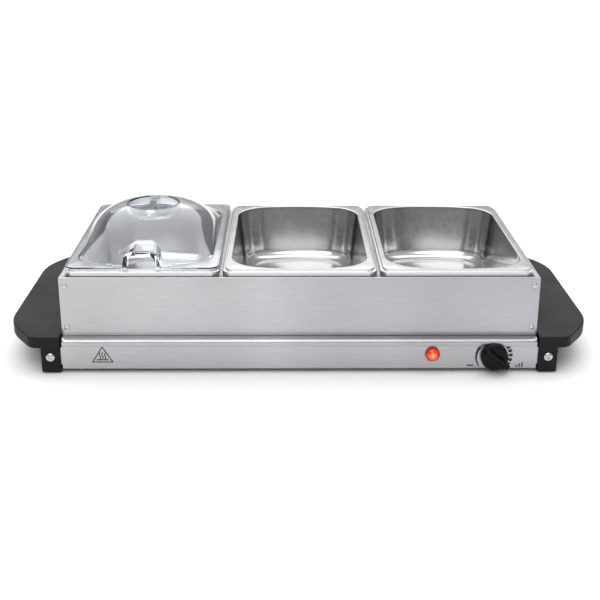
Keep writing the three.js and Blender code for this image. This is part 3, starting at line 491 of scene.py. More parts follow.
@dataclass
class Finishing:
    """How a shaped mesh becomes a finished piece."""

    body: str
    slot: str
    material: Material
    wall: float = 0.0  # sheet thickness given behind the modelled face, mm
    edge: float = 0.0  # round put on every sharp edge, mm
    crease: float = 32.0  # faces that meet at more than this many degrees look sharp

    def make(self, bm: BMesh, name: str, *replaced: str) -> bpy.types.Object:
        """Finishes a piece and puts it on its body.

        Args:
            bm: The mesh in millimetres.
            name: The piece's name.
            replaced: CAD nodes that the piece stands for.

        Returns:
            The finished piece.
        """
        piece = as_object(bm, name)
        piece.data.materials.append(self.material)
        piece.data.polygons.foreach_set("use_smooth", [True] * len(piece.data.polygons))
        piece.data.set_sharp_from_angle(angle=math.radians(self.crease))
        if self.wall:
            wall = piece.modifiers.new("Wall", "SOLIDIFY")
            wall.thickness = self.wall * MM
            wall.offset = -1
            wall.use_even_offset = True
        if self.edge:
            rim = piece.modifiers.new("Edge", "BEVEL")
            rim.width = self.edge * MM
            rim.segments = 3
            rim.limit_method = "ANGLE"
            rim.angle_limit = math.radians(self.crease)
            rim.use_clamp_overlap = True
            rim.harden_normals = True
        even = piece.modifiers.new("Normals", "WEIGHTED_NORMAL")
        even.keep_sharp = True
        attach(piece, self.body)
        if replaced:
            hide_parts(*replaced)
        log.info("%s stands for %s", name, ", ".join(replaced) or "a mark")
        return piece


# ---------------------------------------------------------------- materials


def linear(colour: str) -> tuple[float, float, float, float]:
    """Turns an sRGB hex colour into linear light.

    Args:
        colour: Six hex digits.

    Returns:
        Red, green, blue and an alpha of 1.
    """
    parts = [int(colour[i : i + 2], 16) / 255 for i in (0, 2, 4)]
    red, green, blue = (p / 12.92 if p <= 0.04045 else ((p + 0.055) / 1.055) ** 2.4 for p in parts)
    return red, green, blue, 1.0


def add_node(
    tree: bpy.types.NodeTree,
    kind: str,
    inputs: dict | None = None,
    links: dict | None = None,
    **settings: object,
) -> bpy.types.Node:
    """Adds a node with its settings, values and links.

    Args:
        tree: The node tree.
        kind: The node's type.
        inputs: Input names or indices with their values.
        links: Input names or indices with the sockets that feed them.
        settings: The node's own settings.

    Returns:
        The node.
    """
    made = tree.nodes.new(kind)
    for key, value in settings.items():
        setattr(made, key, value)
    for key, value in (inputs or {}).items():
        made.inputs[key].default_value = value
    for key, socket in (links or {}).items():
        tree.links.new(socket, made.inputs[key])
    return made


class Surface:
    """A new material with its own coordinates and Principled shader."""

    def __init__(self, name: str, **inputs: object) -> None:
        """Makes a material whose shader has these values."""
        self.material = bpy.data.materials.new(name)
        self.material.use_nodes = True
        self.tree = self.material.node_tree
        self.tree.nodes.clear()
        self.coords = add_node(self.tree, "ShaderNodeTexCoord").outputs["Object"]
        values = {key.replace("_", " "): value for key, value in inputs.items()}
        self.shader = add_node(self.tree, "ShaderNodeBsdfPrincipled", inputs=values)
        self.output = add_node(
            self.tree, "ShaderNodeOutputMaterial", links={"Surface": self.shader.outputs["BSDF"]}
        )

    def noise(self, per_metre: Point, detail: float = 2.0, rough: float = 0.5) -> Socket:
        """A noise pattern with its own scale along each axis.

        Args:
            per_metre: Features in a metre along X, Y and Z.
            detail: Octaves of the noise.
            rough: Strength of the finer octaves.

        Returns:
            The pattern, from 0 to 1.
        """
        place = add_node(
            self.tree, "ShaderNodeMapping", inputs={"Scale": per_metre}, links={"Vector": self.coords}
        )
        made = add_node(
            self.tree, "ShaderNodeTexNoise",
            inputs={"Scale": 1.0, "Detail": detail, "Roughness": rough},
            links={"Vector": place.outputs["Vector"]},
        )
        return made.outputs["Fac"]

    def spread(self, source: Socket, low: float, high: float) -> Socket:
        """Stretches the middle of a pattern over a range of values.

        Args:
            source: The pattern.
            low: Value where the pattern is weak.
            high: Value where it is strong.

        Returns:
            The stretched value.
        """
        made = add_node(
            self.tree, "ShaderNodeMapRange",
            inputs={"From Min": 0.3, "From Max": 0.7, "To Min": low, "To Max": high},
            links={"Value": source},
        )
        return made.outputs["Result"]

    def blend(
        self, source: Socket, first: str | Socket, second: str
    ) -> Socket:
        """Blends two colours by a pattern.

        Args:
            source: The pattern.
            first: sRGB hex colour, or a socket that gives it, where the pattern is 0.
            second: sRGB hex colour where it is 1.

        Returns:
            The blended colour.
        """
        inputs, links = {7: linear(second)}, {0: source}
        if isinstance(first, str):
            inputs[6] = linear(first)
        else:
            links[6] = first
        return add_node(self.tree, "ShaderNodeMix", inputs, links, data_type="RGBA").outputs[2]

    def feed(self, name: str, source: Socket) -> None:
        """Feeds one of the shader's inputs."""
        self.tree.links.new(source, self.shader.inputs[name])

    def bump(self, source: Socket, height: float, strength: float = 1.0) -> None:
        """Gives the surface relief.

        Args:
            source: The pattern of the relief.
            height: Its height in millimetres.
            strength: How much of it is seen.
        """
        before = self.shader.inputs["Normal"]
        links = {"Height": source}
        if before.is_linked:
            links["Normal"] = before.links[0].from_socket
        made = add_node(
            self.tree, "ShaderNodeBump", inputs={"Distance": height * MM, "Strength": strength}, links=links
        )
        self.tree.links.new(made.outputs["Normal"], before)


@dataclass(frozen=True)
class BrushedSteel:
    """Stainless sheet brushed along one axis: fine streaks that draw highlights out across them."""

    along: Axis
    light: str = "cacaca"
    dark: str = "b0b0b0"
    tint: str = "b0adbe"
    streak: str = "8e8e8e"
    roughness: Pair = (0.24, 0.34)
    streak_length: float = 70.0  # mm
    streak_width: float = 1.3  # mm, wider than the real 0.1 mm scratches, which are too fine to see

    def make(self) -> Material:
        """Builds the material."""
        surface = Surface(f"brushed_steel_{self.along.name.lower()}", Metallic=1.0)
        across, along = 1 / (self.streak_width * MM), 1 / (self.streak_length * MM)
        scale = [along if part else across for part in self.along.value]
        streaks = surface.noise(scale, 4, 0.65)
        fine = surface.noise([s * 3.1 for s in scale], 3, 0.6)
        cloud = surface.noise((9, 9, 4), 1, 0.4)  # slow drift of tone over about 110 mm
        drift = surface.noise((5, 6, 3), 0, 0.4)
        tone = surface.blend(surface.spread(cloud, 0, 1), self.light, self.dark)
        tone = surface.blend(surface.spread(drift, 0, 0.45), tone, self.tint)
        surface.feed("Base Color", surface.blend(surface.spread(fine, 0, 0.3), tone, self.streak))
        surface.feed("Roughness", surface.spread(streaks, *self.roughness))
        surface.bump(fine, 0.012, 0.5)
        surface.bump(streaks, 0.03, 0.6)
        return surface.material


@dataclass(frozen=True)
class DrawnSteel:
    """Deep-drawn stainless steel: nearly a mirror, with faint waves and a haze from polishing."""

    name: str = "drawn_steel"
    colour: str = "cdcdce"
    roughness: Pair = (0.12, 0.2)
    wave: float = 26.0  # mm between the waves left by the press

    def make(self) -> Material:
        """Builds the material."""
        surface = Surface(self.name, Base_Color=linear(self.colour), Metallic=1.0)
        haze = surface.noise((180, 180, 180), 4, 0.6)
        waves = surface.noise((1 / (self.wave * MM),) * 3, 1, 0.3)
        surface.feed("Roughness", surface.spread(haze, *self.roughness))
        surface.bump(waves, 0.25, 0.35)
        return surface.material


@dataclass(frozen=True)
class ZincPlate:
    """Zinc plated steel: dull grey with faint crystals a few millimetres across."""

    crystal: float = 5.0  # mm

    def make(self) -> Material:
        """Builds the material."""
        surface = Surface("zinc_plate", Metallic=1.0)
        cells = add_node(
            surface.tree, "ShaderNodeTexVoronoi",
            inputs={"Scale": 1 / (self.crystal * MM)}, links={"Vector": surface.coords},
        )
        tone = add_node(surface.tree, "ShaderNodeRGBToBW", links={"Color": cells.outputs["Color"]})
        surface.feed("Base Color", surface.blend(tone.outputs["Val"], "9da1a4", "b4b7b9"))
        surface.feed("Roughness", surface.spread(tone.outputs["Val"], 0.38, 0.52))
        return surface.material


@dataclass(frozen=True)
class MouldedPlastic:
    """Phenolic-like black plastic from a spark-eroded mould: fine grain, soft sheen, slightly paler patches
    spread at random.
    """

    name: str
    colour: str
    worn: str
    roughness: Pair
    grain: float = 0.9  # mm, coarser than the real 0.2 mm so that it still shows
    relief: float = 0.03  # mm
    sheen: float = 0.11  # strength of its reflections, 0.5 for a bare plastic

    def make(self) -> Material:
        """Builds the material."""
        surface = Surface(self.name, Specular_IOR_Level=self.sheen)
        grain = surface.noise((1 / (self.grain * MM),) * 3, 3, 0.6)
        cloud = surface.noise((25, 25, 25), 3, 0.5)
        surface.feed("Base Color", surface.blend(surface.spread(cloud, 0, 1), self.colour, self.worn))
        surface.feed("Roughness", surface.spread(cloud, *self.roughness))
        surface.bump(grain, self.relief, 0.5)
        return surface.material


@dataclass(frozen=True)
class ClearPlastic:
    """Clear polycarbonate: glossy, faintly hazed by washing, and lets the lamps through to the pan."""

    name: str
    colour: str = "f4f7fa"
    ior: float = 1.5
    roughness: Pair = (0.02, 0.06)
    lets_through: float = 0.85  # share of lamp light that passes without bending

    def make(self) -> Material:
        """Builds the material."""
        surface = Surface(
            self.name, Base_Color=linear(self.colour), IOR=self.ior, Transmission_Weight=1.0
        )
        haze = surface.noise((60, 60, 60), 3, 0.5)
        surface.feed("Roughness", surface.spread(haze, *self.roughness))
        tree = surface.tree
        ray = add_node(tree, "ShaderNodeLightPath").outputs["Is Shadow Ray"]
        share = add_node(
            tree, "ShaderNodeMath", operation="MULTIPLY", inputs={1: self.lets_through}, links={0: ray}
        )
        open_way = add_node(tree, "ShaderNodeBsdfTransparent", inputs={"Color": linear(self.colour)})
        mix = add_node(
            tree, "ShaderNodeMixShader",
            links={0: share.outputs[0], 1: surface.shader.outputs[0], 2: open_way.outputs[0]},
        )
        tree.links.new(mix.outputs[0], surface.output.inputs["Surface"])
        return surface.material


@dataclass(frozen=True)
class LitLens:
    """Lit pilot lens of moulded red acrylic: hot yellow over the lamp, deep red at the rim."""

    axis_x: float  # metres, where the lamp's axis is
    axis_z: float
    radius: float

    def make(self) -> Material:
        """Builds the material."""
        surface = Surface(
            "lit_red_lens", Roughness=0.1, IOR=1.49, Coat_Weight=0.6, Emission_Strength=0.68
        )
        tree = surface.tree
        off = add_node(
            tree, "ShaderNodeVectorMath", operation="SUBTRACT",
            inputs={1: (self.axis_x, 0, self.axis_z)}, links={0: surface.coords},
        )
        flat = add_node(
            tree, "ShaderNodeVectorMath", operation="MULTIPLY",
            inputs={1: (1 / self.radius, 0, 1 / self.radius)}, links={0: off.outputs[0]},
        )
        out = add_node(tree, "ShaderNodeVectorMath", operation="LENGTH", links={0: flat.outputs[0]})
        facets = surface.noise((420, 420, 420), 2, 0.5)
        uneven = add_node(
            tree, "ShaderNodeMath", operation="MULTIPLY_ADD",
            inputs={1: 1.1}, links={0: facets, 2: out.outputs["Value"]},
        )
        reach = add_node(
            tree, "ShaderNodeMapRange", interpolation_type="SMOOTHSTEP",
            inputs={"From Min": 0.5, "From Max": 1.4}, links={"Value": uneven.outputs[0]},
        )
        glow = surface.blend(reach.outputs["Result"], "ffac66", "cc2c12")
        surface.feed("Emission Color", glow)
        surface.feed("Base Color", surface.blend(reach.outputs["Result"], "ff7a3c", "b01c0c"))
        return surface.material


@dataclass(frozen=True)
class Ink:
    """Screen-printed ink on the steel: flat dark grey, slightly worn."""

    def make(self) -> Material:
        """Builds the material."""
        surface = Surface("printed_ink", Roughness=0.6)
        wear = surface.noise((900, 900, 900), 2, 0.6)
        surface.feed("Base Color", surface.blend(surface.spread(wear, 0, 1), "18181a", "242427"))
        return surface.material


@dataclass(frozen=True)
class Mottled:
    """A plain working finish with a slight drift of tone, for the pieces inside and the feet."""

    name: str
    colour: str
    second: str
    roughness: Pair
    metallic: float = 0.0
    grain: float = 1.0  # mm
    relief: float = 0.02  # mm

    def make(self) -> Material:
        """Builds the material."""
        surface = Surface(self.name, Metallic=self.metallic)
        grain = surface.noise((1 / (self.grain * MM),) * 3, 3, 0.55)
        surface.feed("Base Color", surface.blend(surface.spread(grain, 0, 1), self.colour, self.second))
        surface.feed("Roughness", surface.spread(grain, *self.roughness))
        surface.bump(grain, self.relief, 0.6)
        return surface.material


@dataclass
class Finishes:
    """Every finish of the server, made once and shared by its pieces."""

    lamp: Span
    brushed: dict[Axis, Material] = field(init=False)

    def __post_init__(self) -> None:
        """Makes the materials."""
        self.brushed = {axis: BrushedSteel(axis).make() for axis in Axis}
        self.drawn = DrawnSteel().make()
        self.rivet = DrawnSteel("rivet_steel", "c9c9cb", (0.18, 0.28), 4.0).make()
        self.zinc = ZincPlate().make()
        self.black = MouldedPlastic("black_phenolic", "1c1c1d", "222223", (0.42, 0.55)).make()
        self.knob = MouldedPlastic("black_abs", "080809", "0c0c0d", (0.3, 0.4), 0.7, 0.015, 0.16).make()
        self.clear = ClearPlastic("clear_polycarbonate").make()
        self.glass = ClearPlastic("lamp_glass", "f6dccb").make()
        middle, size = self.lamp.middle * MM, self.lamp.size * MM
        self.lens = LitLens(middle.x, middle.z, size.x / 2).make()
        self.ink = Ink().make()
        self.collar = MouldedPlastic("dark_red_collar", "9c3220", "a83c28", (0.25, 0.35), 0.7, 0.01).make()
        self.rubber = Mottled("black_rubber", "1c1c1d", "262627", (0.75, 0.9)).make()
        self.ceramic = Mottled("steatite", "ddd6c6", "e8e2d5", (0.5, 0.65)).make()
        self.sheath = Mottled("oxidised_sheath", "4c4a48", "6a6763", (0.45, 0.6), 0.8).make()
        self.brown = Mottled("brown_insulation", "5b361d", "6d4426", (0.4, 0.5)).make()
        self.white = Mottled("white_glass_sleeve", "dcd8cc", "eae6dc", (0.6, 0.75), 0.0, 0.6, 0.05).make()


def dress(material: Material, *nodes: str) -> None:
    """Gives CAD nodes that are shown as they are a material.

    Args:
        material: The material.
        nodes: Names of the nodes.
    """
    for name in nodes:
        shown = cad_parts[name]
        shown.data.materials.clear()
        shown.data.materials.append(material)


# -------------------------------------------------------------- sheet metal


@dataclass
class FoldedWall:
    """A sheet wall with flanges folded in at top and bottom and mitred ends."""

    length: float
    height: float
    top_flange: float
    bottom_flange: float
    folds: Pair = (1.3, 1.3)  # rounds of the lower and the upper fold
    lap: float = 0.0  # length of the corner tabs of an end wall
    ears: Sequence[float] = ()  # reach, lower and upper end of the ears that a handle is screwed to
    ear_inset: float = 1.1  # of the ears from the wall's ends

    def leaf(self, bm: BMesh, side: int, inset: float, low: Point, high: Point) -> None:
        """Adds a flat tab that stands across one end of the wall.

        Args:
            bm: The wall.
            side: 1 or -1 for the end.
            inset: From the end of the wall.
            low: Lowest y and z.
            high: Highest y and z.
        """
        x = side * (self.length / 2 - inset)
        corners = ((low[0], low[1]), (high[0], low[1]), (high[0], high[1]), (low[0], high[1]))
        tab = bm.faces.new([bm.verts.new((x, *corner)) for corner in corners])
        tab.normal_update()
        if tab.normal.x * side < 0:
            tab.normal_flip()

    def build(self) -> BMesh:
        """Shapes the outer face on y = 0, with its inside towards +y and its lower edge on z = 0."""
        bm = bmesh.new()
        half, high = self.length / 2, self.height
        pen = Pen(bm, (-half, self.bottom_flange, 0)).line_to((-half, 0, 0))
        pen.line_to((-half, 0, high)).line_to((-half, self.top_flange, high))
        push(bm, list(bm.edges), move=(self.length, 0, 0))
        for place_z, fold in zip((0, high), self.folds):
            soften(bm, [e for e in edges_at(bm, 2, place_z) if e in edges_at(bm, 1, 0)], fold, 5)
        for side in (-1, 1):
            bmesh.ops.bisect_plane(
                bm, geom=list(bm.verts) + list(bm.edges) + list(bm.faces), clear_outer=True,
                plane_co=(side * half, 0, 0), plane_no=(side, 1, 0),
            )
        orient(bm, (0, -1, 0))
        for side in (-1, 1):
            if self.lap:
                self.leaf(bm, side, 0, (SHEET, self.folds[0]), (self.lap, high - self.folds[1]))
            if self.ears:
                reach, low, top = self.ears
                self.leaf(bm, side, self.ear_inset, (-reach, low), (0, top))
        return bm


class Side(Enum):
    """The four walls of a box of folded sheet, by the turn that faces each one out."""

    FRONT = 0.0
    REAR = math.pi
    LEFT = -QUARTER_TURN
    RIGHT = QUARTER_TURN


@dataclass
class WallBox:
    """Four folded walls that make the sides of a box."""

    prefix: str
    body: str
    finishes: Finishes
    top_flange: float
    bottom_flange: float
    lap: float = 14.0
    ears: Sequence[float] = ()
    folds: Pair = (1.3, 1.3)
    seam: float = 0.1  # gap between an end wall and the walls it runs between

    def build(self) -> None:
        """Builds the four walls where their CAD nodes stand."""
        front, rear = f"{self.prefix}_front_wall", f"{self.prefix}_rear_wall"
        both, along = Span.of(front, rear), Span.of(front)
        half_x, half_y = along.size.x / 2, both.size.y / 2
        inner = half_y - SHEET - self.seam
        for side in Side:
            ends = side in (Side.LEFT, Side.RIGHT)
            length = 2 * (inner if ends else half_x)
            wall = FoldedWall(length, along.size.z, self.top_flange, self.bottom_flange, self.folds)
            if ends:
                wall.lap, wall.ears = self.lap, self.ears
            out = Matrix.Rotation(side.value, 3, "Z") @ Vector((0, -half_x if ends else -half_y, 0))
            bm = place(wall.build(), out + Vector((0, both.middle.y, along.low.z)), side.value)
            steel = self.finishes.brushed[Axis.Y if ends else Axis.X]
            name = f"{self.prefix}_{side.name.lower()}_wall"
            Finishing(self.body, "brushed_steel", steel, wall=SHEET).make(bm, f"{name}_sheet", name)


@dataclass
class HotPlate:
    """The warming plate: a sheet with a folded skirt and a raised field that the frame sits round."""

    finishes: Finishes
    skirt: float = 7.6
    rise: float = 1.5
    corner: float = 4.0
    fold: float = 3.6
    field_corner: float = 10.0
    field_side: float = 9.5  # field's edge from the plate's, ends
    field_front: float = 21.2  # and front and back
    slope: float = 1.2
    crest: float = 0.7  # round at the top of the slope
    sheet: float = 1.0

    def build(self) -> None:
        """Builds the plate."""
        span = Span.of("hot_plate")
        half_x, half_y, top = span.size.x / 2, span.size.y / 2, span.high.z - self.rise
        bm = bmesh.new()
        outer = rounded_rectangle(bm, half_x, half_y, self.corner, top)
        field_x, field_y = half_x - self.field_side, half_y - self.field_front
        foot = rounded_rectangle(bm, field_x, field_y, self.field_corner, top)
        bmesh.ops.bridge_loops(bm, edges=outer + foot)
        push(bm, outer, move=(0, 0, -self.skirt))
        shrink = ((field_x - self.slope) / field_x, (field_y - self.slope) / field_y, 1)
        crest = push(bm, foot, move=(0, 0, self.rise), scale=shrink)
        fill(bm, crest)
        soften(bm, outer, self.fold, 5)
        soften(bm, crest, self.crest, 3)
        orient(bm, (0, 0, 1))
        place(bm, (span.middle.x, span.middle.y, 0))
        steel = self.finishes.brushed[Axis.X]
        Finishing("base", "brushed_steel", steel, wall=self.sheet).make(bm, "hot_plate_sheet", "hot_plate")


# --------------------------------------------------------------- pans, lid


@dataclass
class RimPlan:
    """The plan that pans and lid share, measured from a food pan's CAD node."""

    corner: float = 12.0
    ledge: float = 3.0
    step: float = 2.2
    side_flange: float = 7.7  # flange beside the opening
    end_flange: float = 3.7  # and at the middle of its bowed ends
    opening_corner: float = 38.0
    bow: float = 190.0

    def __post_init__(self) -> None:
        """Measures the rim."""
        self.span = Span.of("food_pan_left")
        self.half_x, self.half_y = self.span.size.x / 2, self.span.size.y / 2
        self.open_x = self.half_x - self.side_flange
        self.open_y = self.half_y - self.end_flange

    def outline(self, bm: BMesh, inset: float, z: float, steps: int = 8) -> Edges:
        """Draws the rim's outline, pulled in by an inset."""
        return rounded_rectangle(bm, self.half_x - inset, self.half_y - inset, self.corner - inset, z, steps)

    def opening(self, bm: BMesh, z: float, inset: float = 0.0) -> Edges:
        """Draws the opening's outline, narrowed by an inset."""
        edges = bowed_rectangle(bm, self.open_x, self.open_y, self.opening_corner, self.bow, z)
        verts = {v for e in edges for v in e.verts}
        narrow = (1 - inset / self.open_x, 1 - inset / self.open_y, 1)
        bmesh.ops.scale(bm, vec=narrow, verts=list(verts))
        return edges


@dataclass
class FoodPan:
    """A deep-drawn pan: flat flange, stepped ledge, lip, drafted walls and a filleted floor."""

    plan: RimPlan
    finishes: Finishes
    rim_height: float = 6.7
    mouth: Pair = (-0.1, 1.1)  # insets where the round at the opening starts and ends
    shoulder: Pair = (1.3, 5.0)  # inset and depth of the upright edge under it
    draft: float = 7.0
    fillet: float = 12.0
    crest: float = 0.3  # rounds of the flange's edge, of the ledge's foot and of the lip
    foot: float = 0.6
    lip: float = 1.1

    def build(self, side: str) -> None:
        """Builds one pan.

        Args:
            side: left, middle or right.
        """
        plan = self.plan
        top, floor = plan.span.high.z, plan.span.low.z + SHEET
        opening, rim = (plan.open_x, plan.open_y), (plan.half_x, plan.half_y)
        level, flat = plan.ledge, self.mouth[0]
        bm = bmesh.new()
        mouth = plan.opening(bm, top, flat)
        flange = plan.outline(bm, level + self.crest, top)
        bmesh.ops.triangle_fill(
            bm, edges=mouth + flange, use_beauty=True, use_dissolve=False, normal=(0, 0, 1)
        )
        wall = (self.mouth[1], top + flat - self.mouth[1])
        foot = (self.draft, floor + self.fillet)
        under = (self.shoulder[0], top - self.shoulder[1])
        inside = [(flat, top), *bend((flat, top), wall, True), under, foot]
        inside += bend(foot, (self.draft + self.fillet, floor), False, 9)
        fill(bm, descend(bm, mouth, opening, inside))
        low = top - plan.step
        over, down = (level + self.crest, top), (level, top - self.crest)
        corner, out = (level, low + self.foot), (level - self.foot, low)
        outside = [over, *bend(over, down, True, 3), corner, *bend(corner, out, False, 3)]
        lip = (self.lip, low)
        outside += [lip, *bend(lip, (0, low - self.lip), True), (0, top - self.rim_height)]
        descend(bm, flange, rim, outside)
        orient(bm, (0, 0, -1), (0, 0, 1))
        place(bm, Vector((Span.of(f"food_pan_{side}").middle.x, plan.span.middle.y, 0)))
        Finishing(f"{side}_pan", "polished_steel", self.finishes.drawn, wall=SHEET, crease=40).make(
            bm, f"{side}_pan_drawn", f"food_pan_{side}"
        )


@dataclass
class ServingLid:
    """The clear lid: a lipped flange, a crowned dome, a sunk grip and a hooded spoon notch."""

    plan: RimPlan
    finishes: Finishes
    wall: float = 1.8
    lid_inset: float = 0.4
    dome_inset: float = 1.0
    dome_rise: float = 36.6
    fit: float = 0.3
    grip: tuple[float, float, float] = (28.0, 30.0, 12.0)  # half width, half length, depth
    grip_bar: float = 8.0
    notch: tuple[float, float, float] = (29.0, 13.6, 9.0)  # width, height, corner radius
    hood: tuple[float, float, float] = (5.4, 4.3, 40.0)  # side, roof, length
    crown_level: float = 0.955  # the dome is cut flat here, inside the grip
    oval_level: float = 0.5  # its plan is a full oval above this
    swell: Pair = (2.2, 0.9)  # how full it is across and along, as powers
    rounds: tuple[float, float, float] = (1.0, 1.6, 2.0)  # flange, hood and grip, below the grip
    past: float = 1.0  # how far a cut reaches past the face that it opens
    above: float = 3.0  # how far the grip's solids reach above the crown
    rings: int = 26

    def __post_init__(self) -> None:
        """Works out the lid's levels."""
        rim = self.plan.span.high.z
        self.under = rim + self.fit
        self.flange = self.under + self.wall
        self.lip = rim - self.plan.step + self.fit
        self.crown = self.flange + self.dome_rise
        self.front = self.lid_inset - self.plan.half_y

    def slab(self, inset: float, low: float, high: float, soft: float = 0.0) -> BMesh:
        """A block with the rim's outline.

        Args:
            inset: How far the outline is pulled in.
            low: Its lower face.
            high: Its upper face.
            soft: Round on its upper edge.

        Returns:
            The solid.
        """
        bm = bmesh.new()
        rise(bm, fill(bm, self.plan.outline(bm, inset, low, 10)), (0, 0, high - low))
        if soft:
            soften(bm, edges_at(bm, 2, high), soft, 4)
        return bm

    def ring(self, bm: BMesh, inset: float, level: float, z: float) -> Edges:
        """Draws the dome's outline at a level: the opening's at the foot, an oval higher up.

        Args:
            bm: The mesh.
            inset: How far the foot lies inside the opening.
            level: From 0 at the foot to 1.
            z: Height of the outline.

        Returns:
            The edges of the outline.
        """
        plan, known = self.plan, set(bm.edges)
        edges = plan.opening(bm, z, inset)
        sides = [e for e in edges if e.calc_length() > plan.opening_corner]
        bmesh.ops.subdivide_edges(bm, edges=sides, cuts=18)
        edges = [e for e in bm.edges if e not in known]
        half_x, half_y = plan.open_x - inset, plan.open_y - inset
        oval = math.sin(QUARTER_TURN * min(1.0, level / self.oval_level))
        share_x = (1 - level**2) ** (1 / self.swell[0])
        share_y = (1 - level ** (1 / self.swell[1])) ** 0.5
        for vert in {v for e in edges for v in e.verts}:
            angle = math.atan2(vert.co.y / half_y, vert.co.x / half_x)
            target = Vector((half_x * math.cos(angle), half_y * math.sin(angle), z))
            vert.co = vert.co.lerp(target, oval)
            vert.co.x *= share_x
            vert.co.y *= share_y
        return edges

    def dome(self, thinner: float, foot: float) -> BMesh:
        """The dome as a solid.

        Args:
            thinner: How far its surface lies inside the outer one.
            foot: Its lower face.

        Returns:
            The solid.
        """
        bm = bmesh.new()
        inset = self.dome_inset + thinner
        last = self.ring(bm, inset, 0, foot)
        fill(bm, last)
        for i in range(self.rings + 1):
            # The rings stand close together near the crown, where the dome is nearly level.
            level = self.crown_level * math.sin(QUARTER_TURN * i / self.rings)
            z = self.flange + (self.dome_rise - thinner) * level / self.crown_level
            edges = self.ring(bm, inset, level, z)
            bmesh.ops.bridge_loops(bm, edges=last + edges)
            last = edges
        fill(bm, last)
        return bm

    def tunnel(self, grow: float, roof: float, low: float, y0: float, y1: float, soft: float = 0.0) -> BMesh:
        """An arched solid along Y, for the spoon notch or its hood.

        Args:
            grow: How much wider than the notch it is on each side.
            roof: How much higher it is.
            low: Its lower face.
            y0: Its front end.
            y1: Its rear end.
            soft: Round on the edge of its front end.

        Returns:
            The solid.
        """
        width, height, corner = self.notch
        half, top, radius = width / 2 + grow, self.flange + height + roof, corner + roof
        axis = (0, -1, 0)
        bm = bmesh.new()
        pen = Pen(bm, (-half, y0, low)).line_to((half, y0, low)).line_to((half, y0, top - radius))
        pen.arc((half - radius, y0, top - radius), QUARTER_TURN, 10, axis).line_to((radius - half, y0, top))
        edges = pen.arc((radius - half, y0, top - radius), QUARTER_TURN, 10, axis).close()
        rise(bm, fill(bm, edges), (0, y1 - y0, 0))
        if soft:
            soften(bm, edges_at(bm, 1, y0), soft, 3)
        return bm

    def oval(self, out: float, low: float, soft: float = 0.0) -> BMesh:
        """The oval of the sunk grip as a post, grown by out, up past the crown."""
        half_x, half_y, _ = self.grip
        bm = bmesh.new()
        stretch = Matrix.Diagonal((half_x + out, half_y + out, 1, 1))
        made = bmesh.ops.create_circle(bm, cap_ends=True, radius=1, segments=72, matrix=stretch)
        bmesh.ops.translate(bm, vec=(0, 0, low), verts=made["verts"])
        rise(bm, bm.faces[:][0], (0, 0, self.crown + self.above - low))
        if soft:
            soften(bm, edges_at(bm, 2, low), soft, 4)
        return bm

    def build(self) -> None:
        """Builds the lid."""
        wall, floor = self.wall, self.crown - self.grip[2]
        side, roof, length = self.hood
        edge, soft, below = self.rounds
        start, end, past = self.front, self.front + length, self.past
        hood = self.tunnel(side, roof, self.lip, start, end, soft)
        shell = self.slab(self.lid_inset, self.lip, self.flange, edge)
        shell = join(shell, self.dome(0, self.flange - wall / 2), hood)
        under = self.slab(self.lid_inset + wall, self.lip - past, self.under)
        room = cut(self.dome(wall, self.under - past), self.oval(wall, floor - wall, below))
        way = self.tunnel(0, 0, self.lip - past, start - past, end + past)
        shell = cut(shell, under, room, way, self.oval(0, floor, soft))
        half, reach = self.grip_bar / 2, self.grip[1] + past
        bar = block((-half, -reach, floor - wall / 2), (half, reach, self.crown + self.above))
        shell = join(shell, combine(bar, self.dome(0, self.flange), "INTERSECT"))
        place(shell, (Span.of("lid").middle.x, self.plan.span.middle.y, 0))
        Finishing("lid", "clear_plastic", self.finishes.clear, crease=28).make(shell, "serving_lid", "lid")


# ------------------------------------------------------- handles, controls


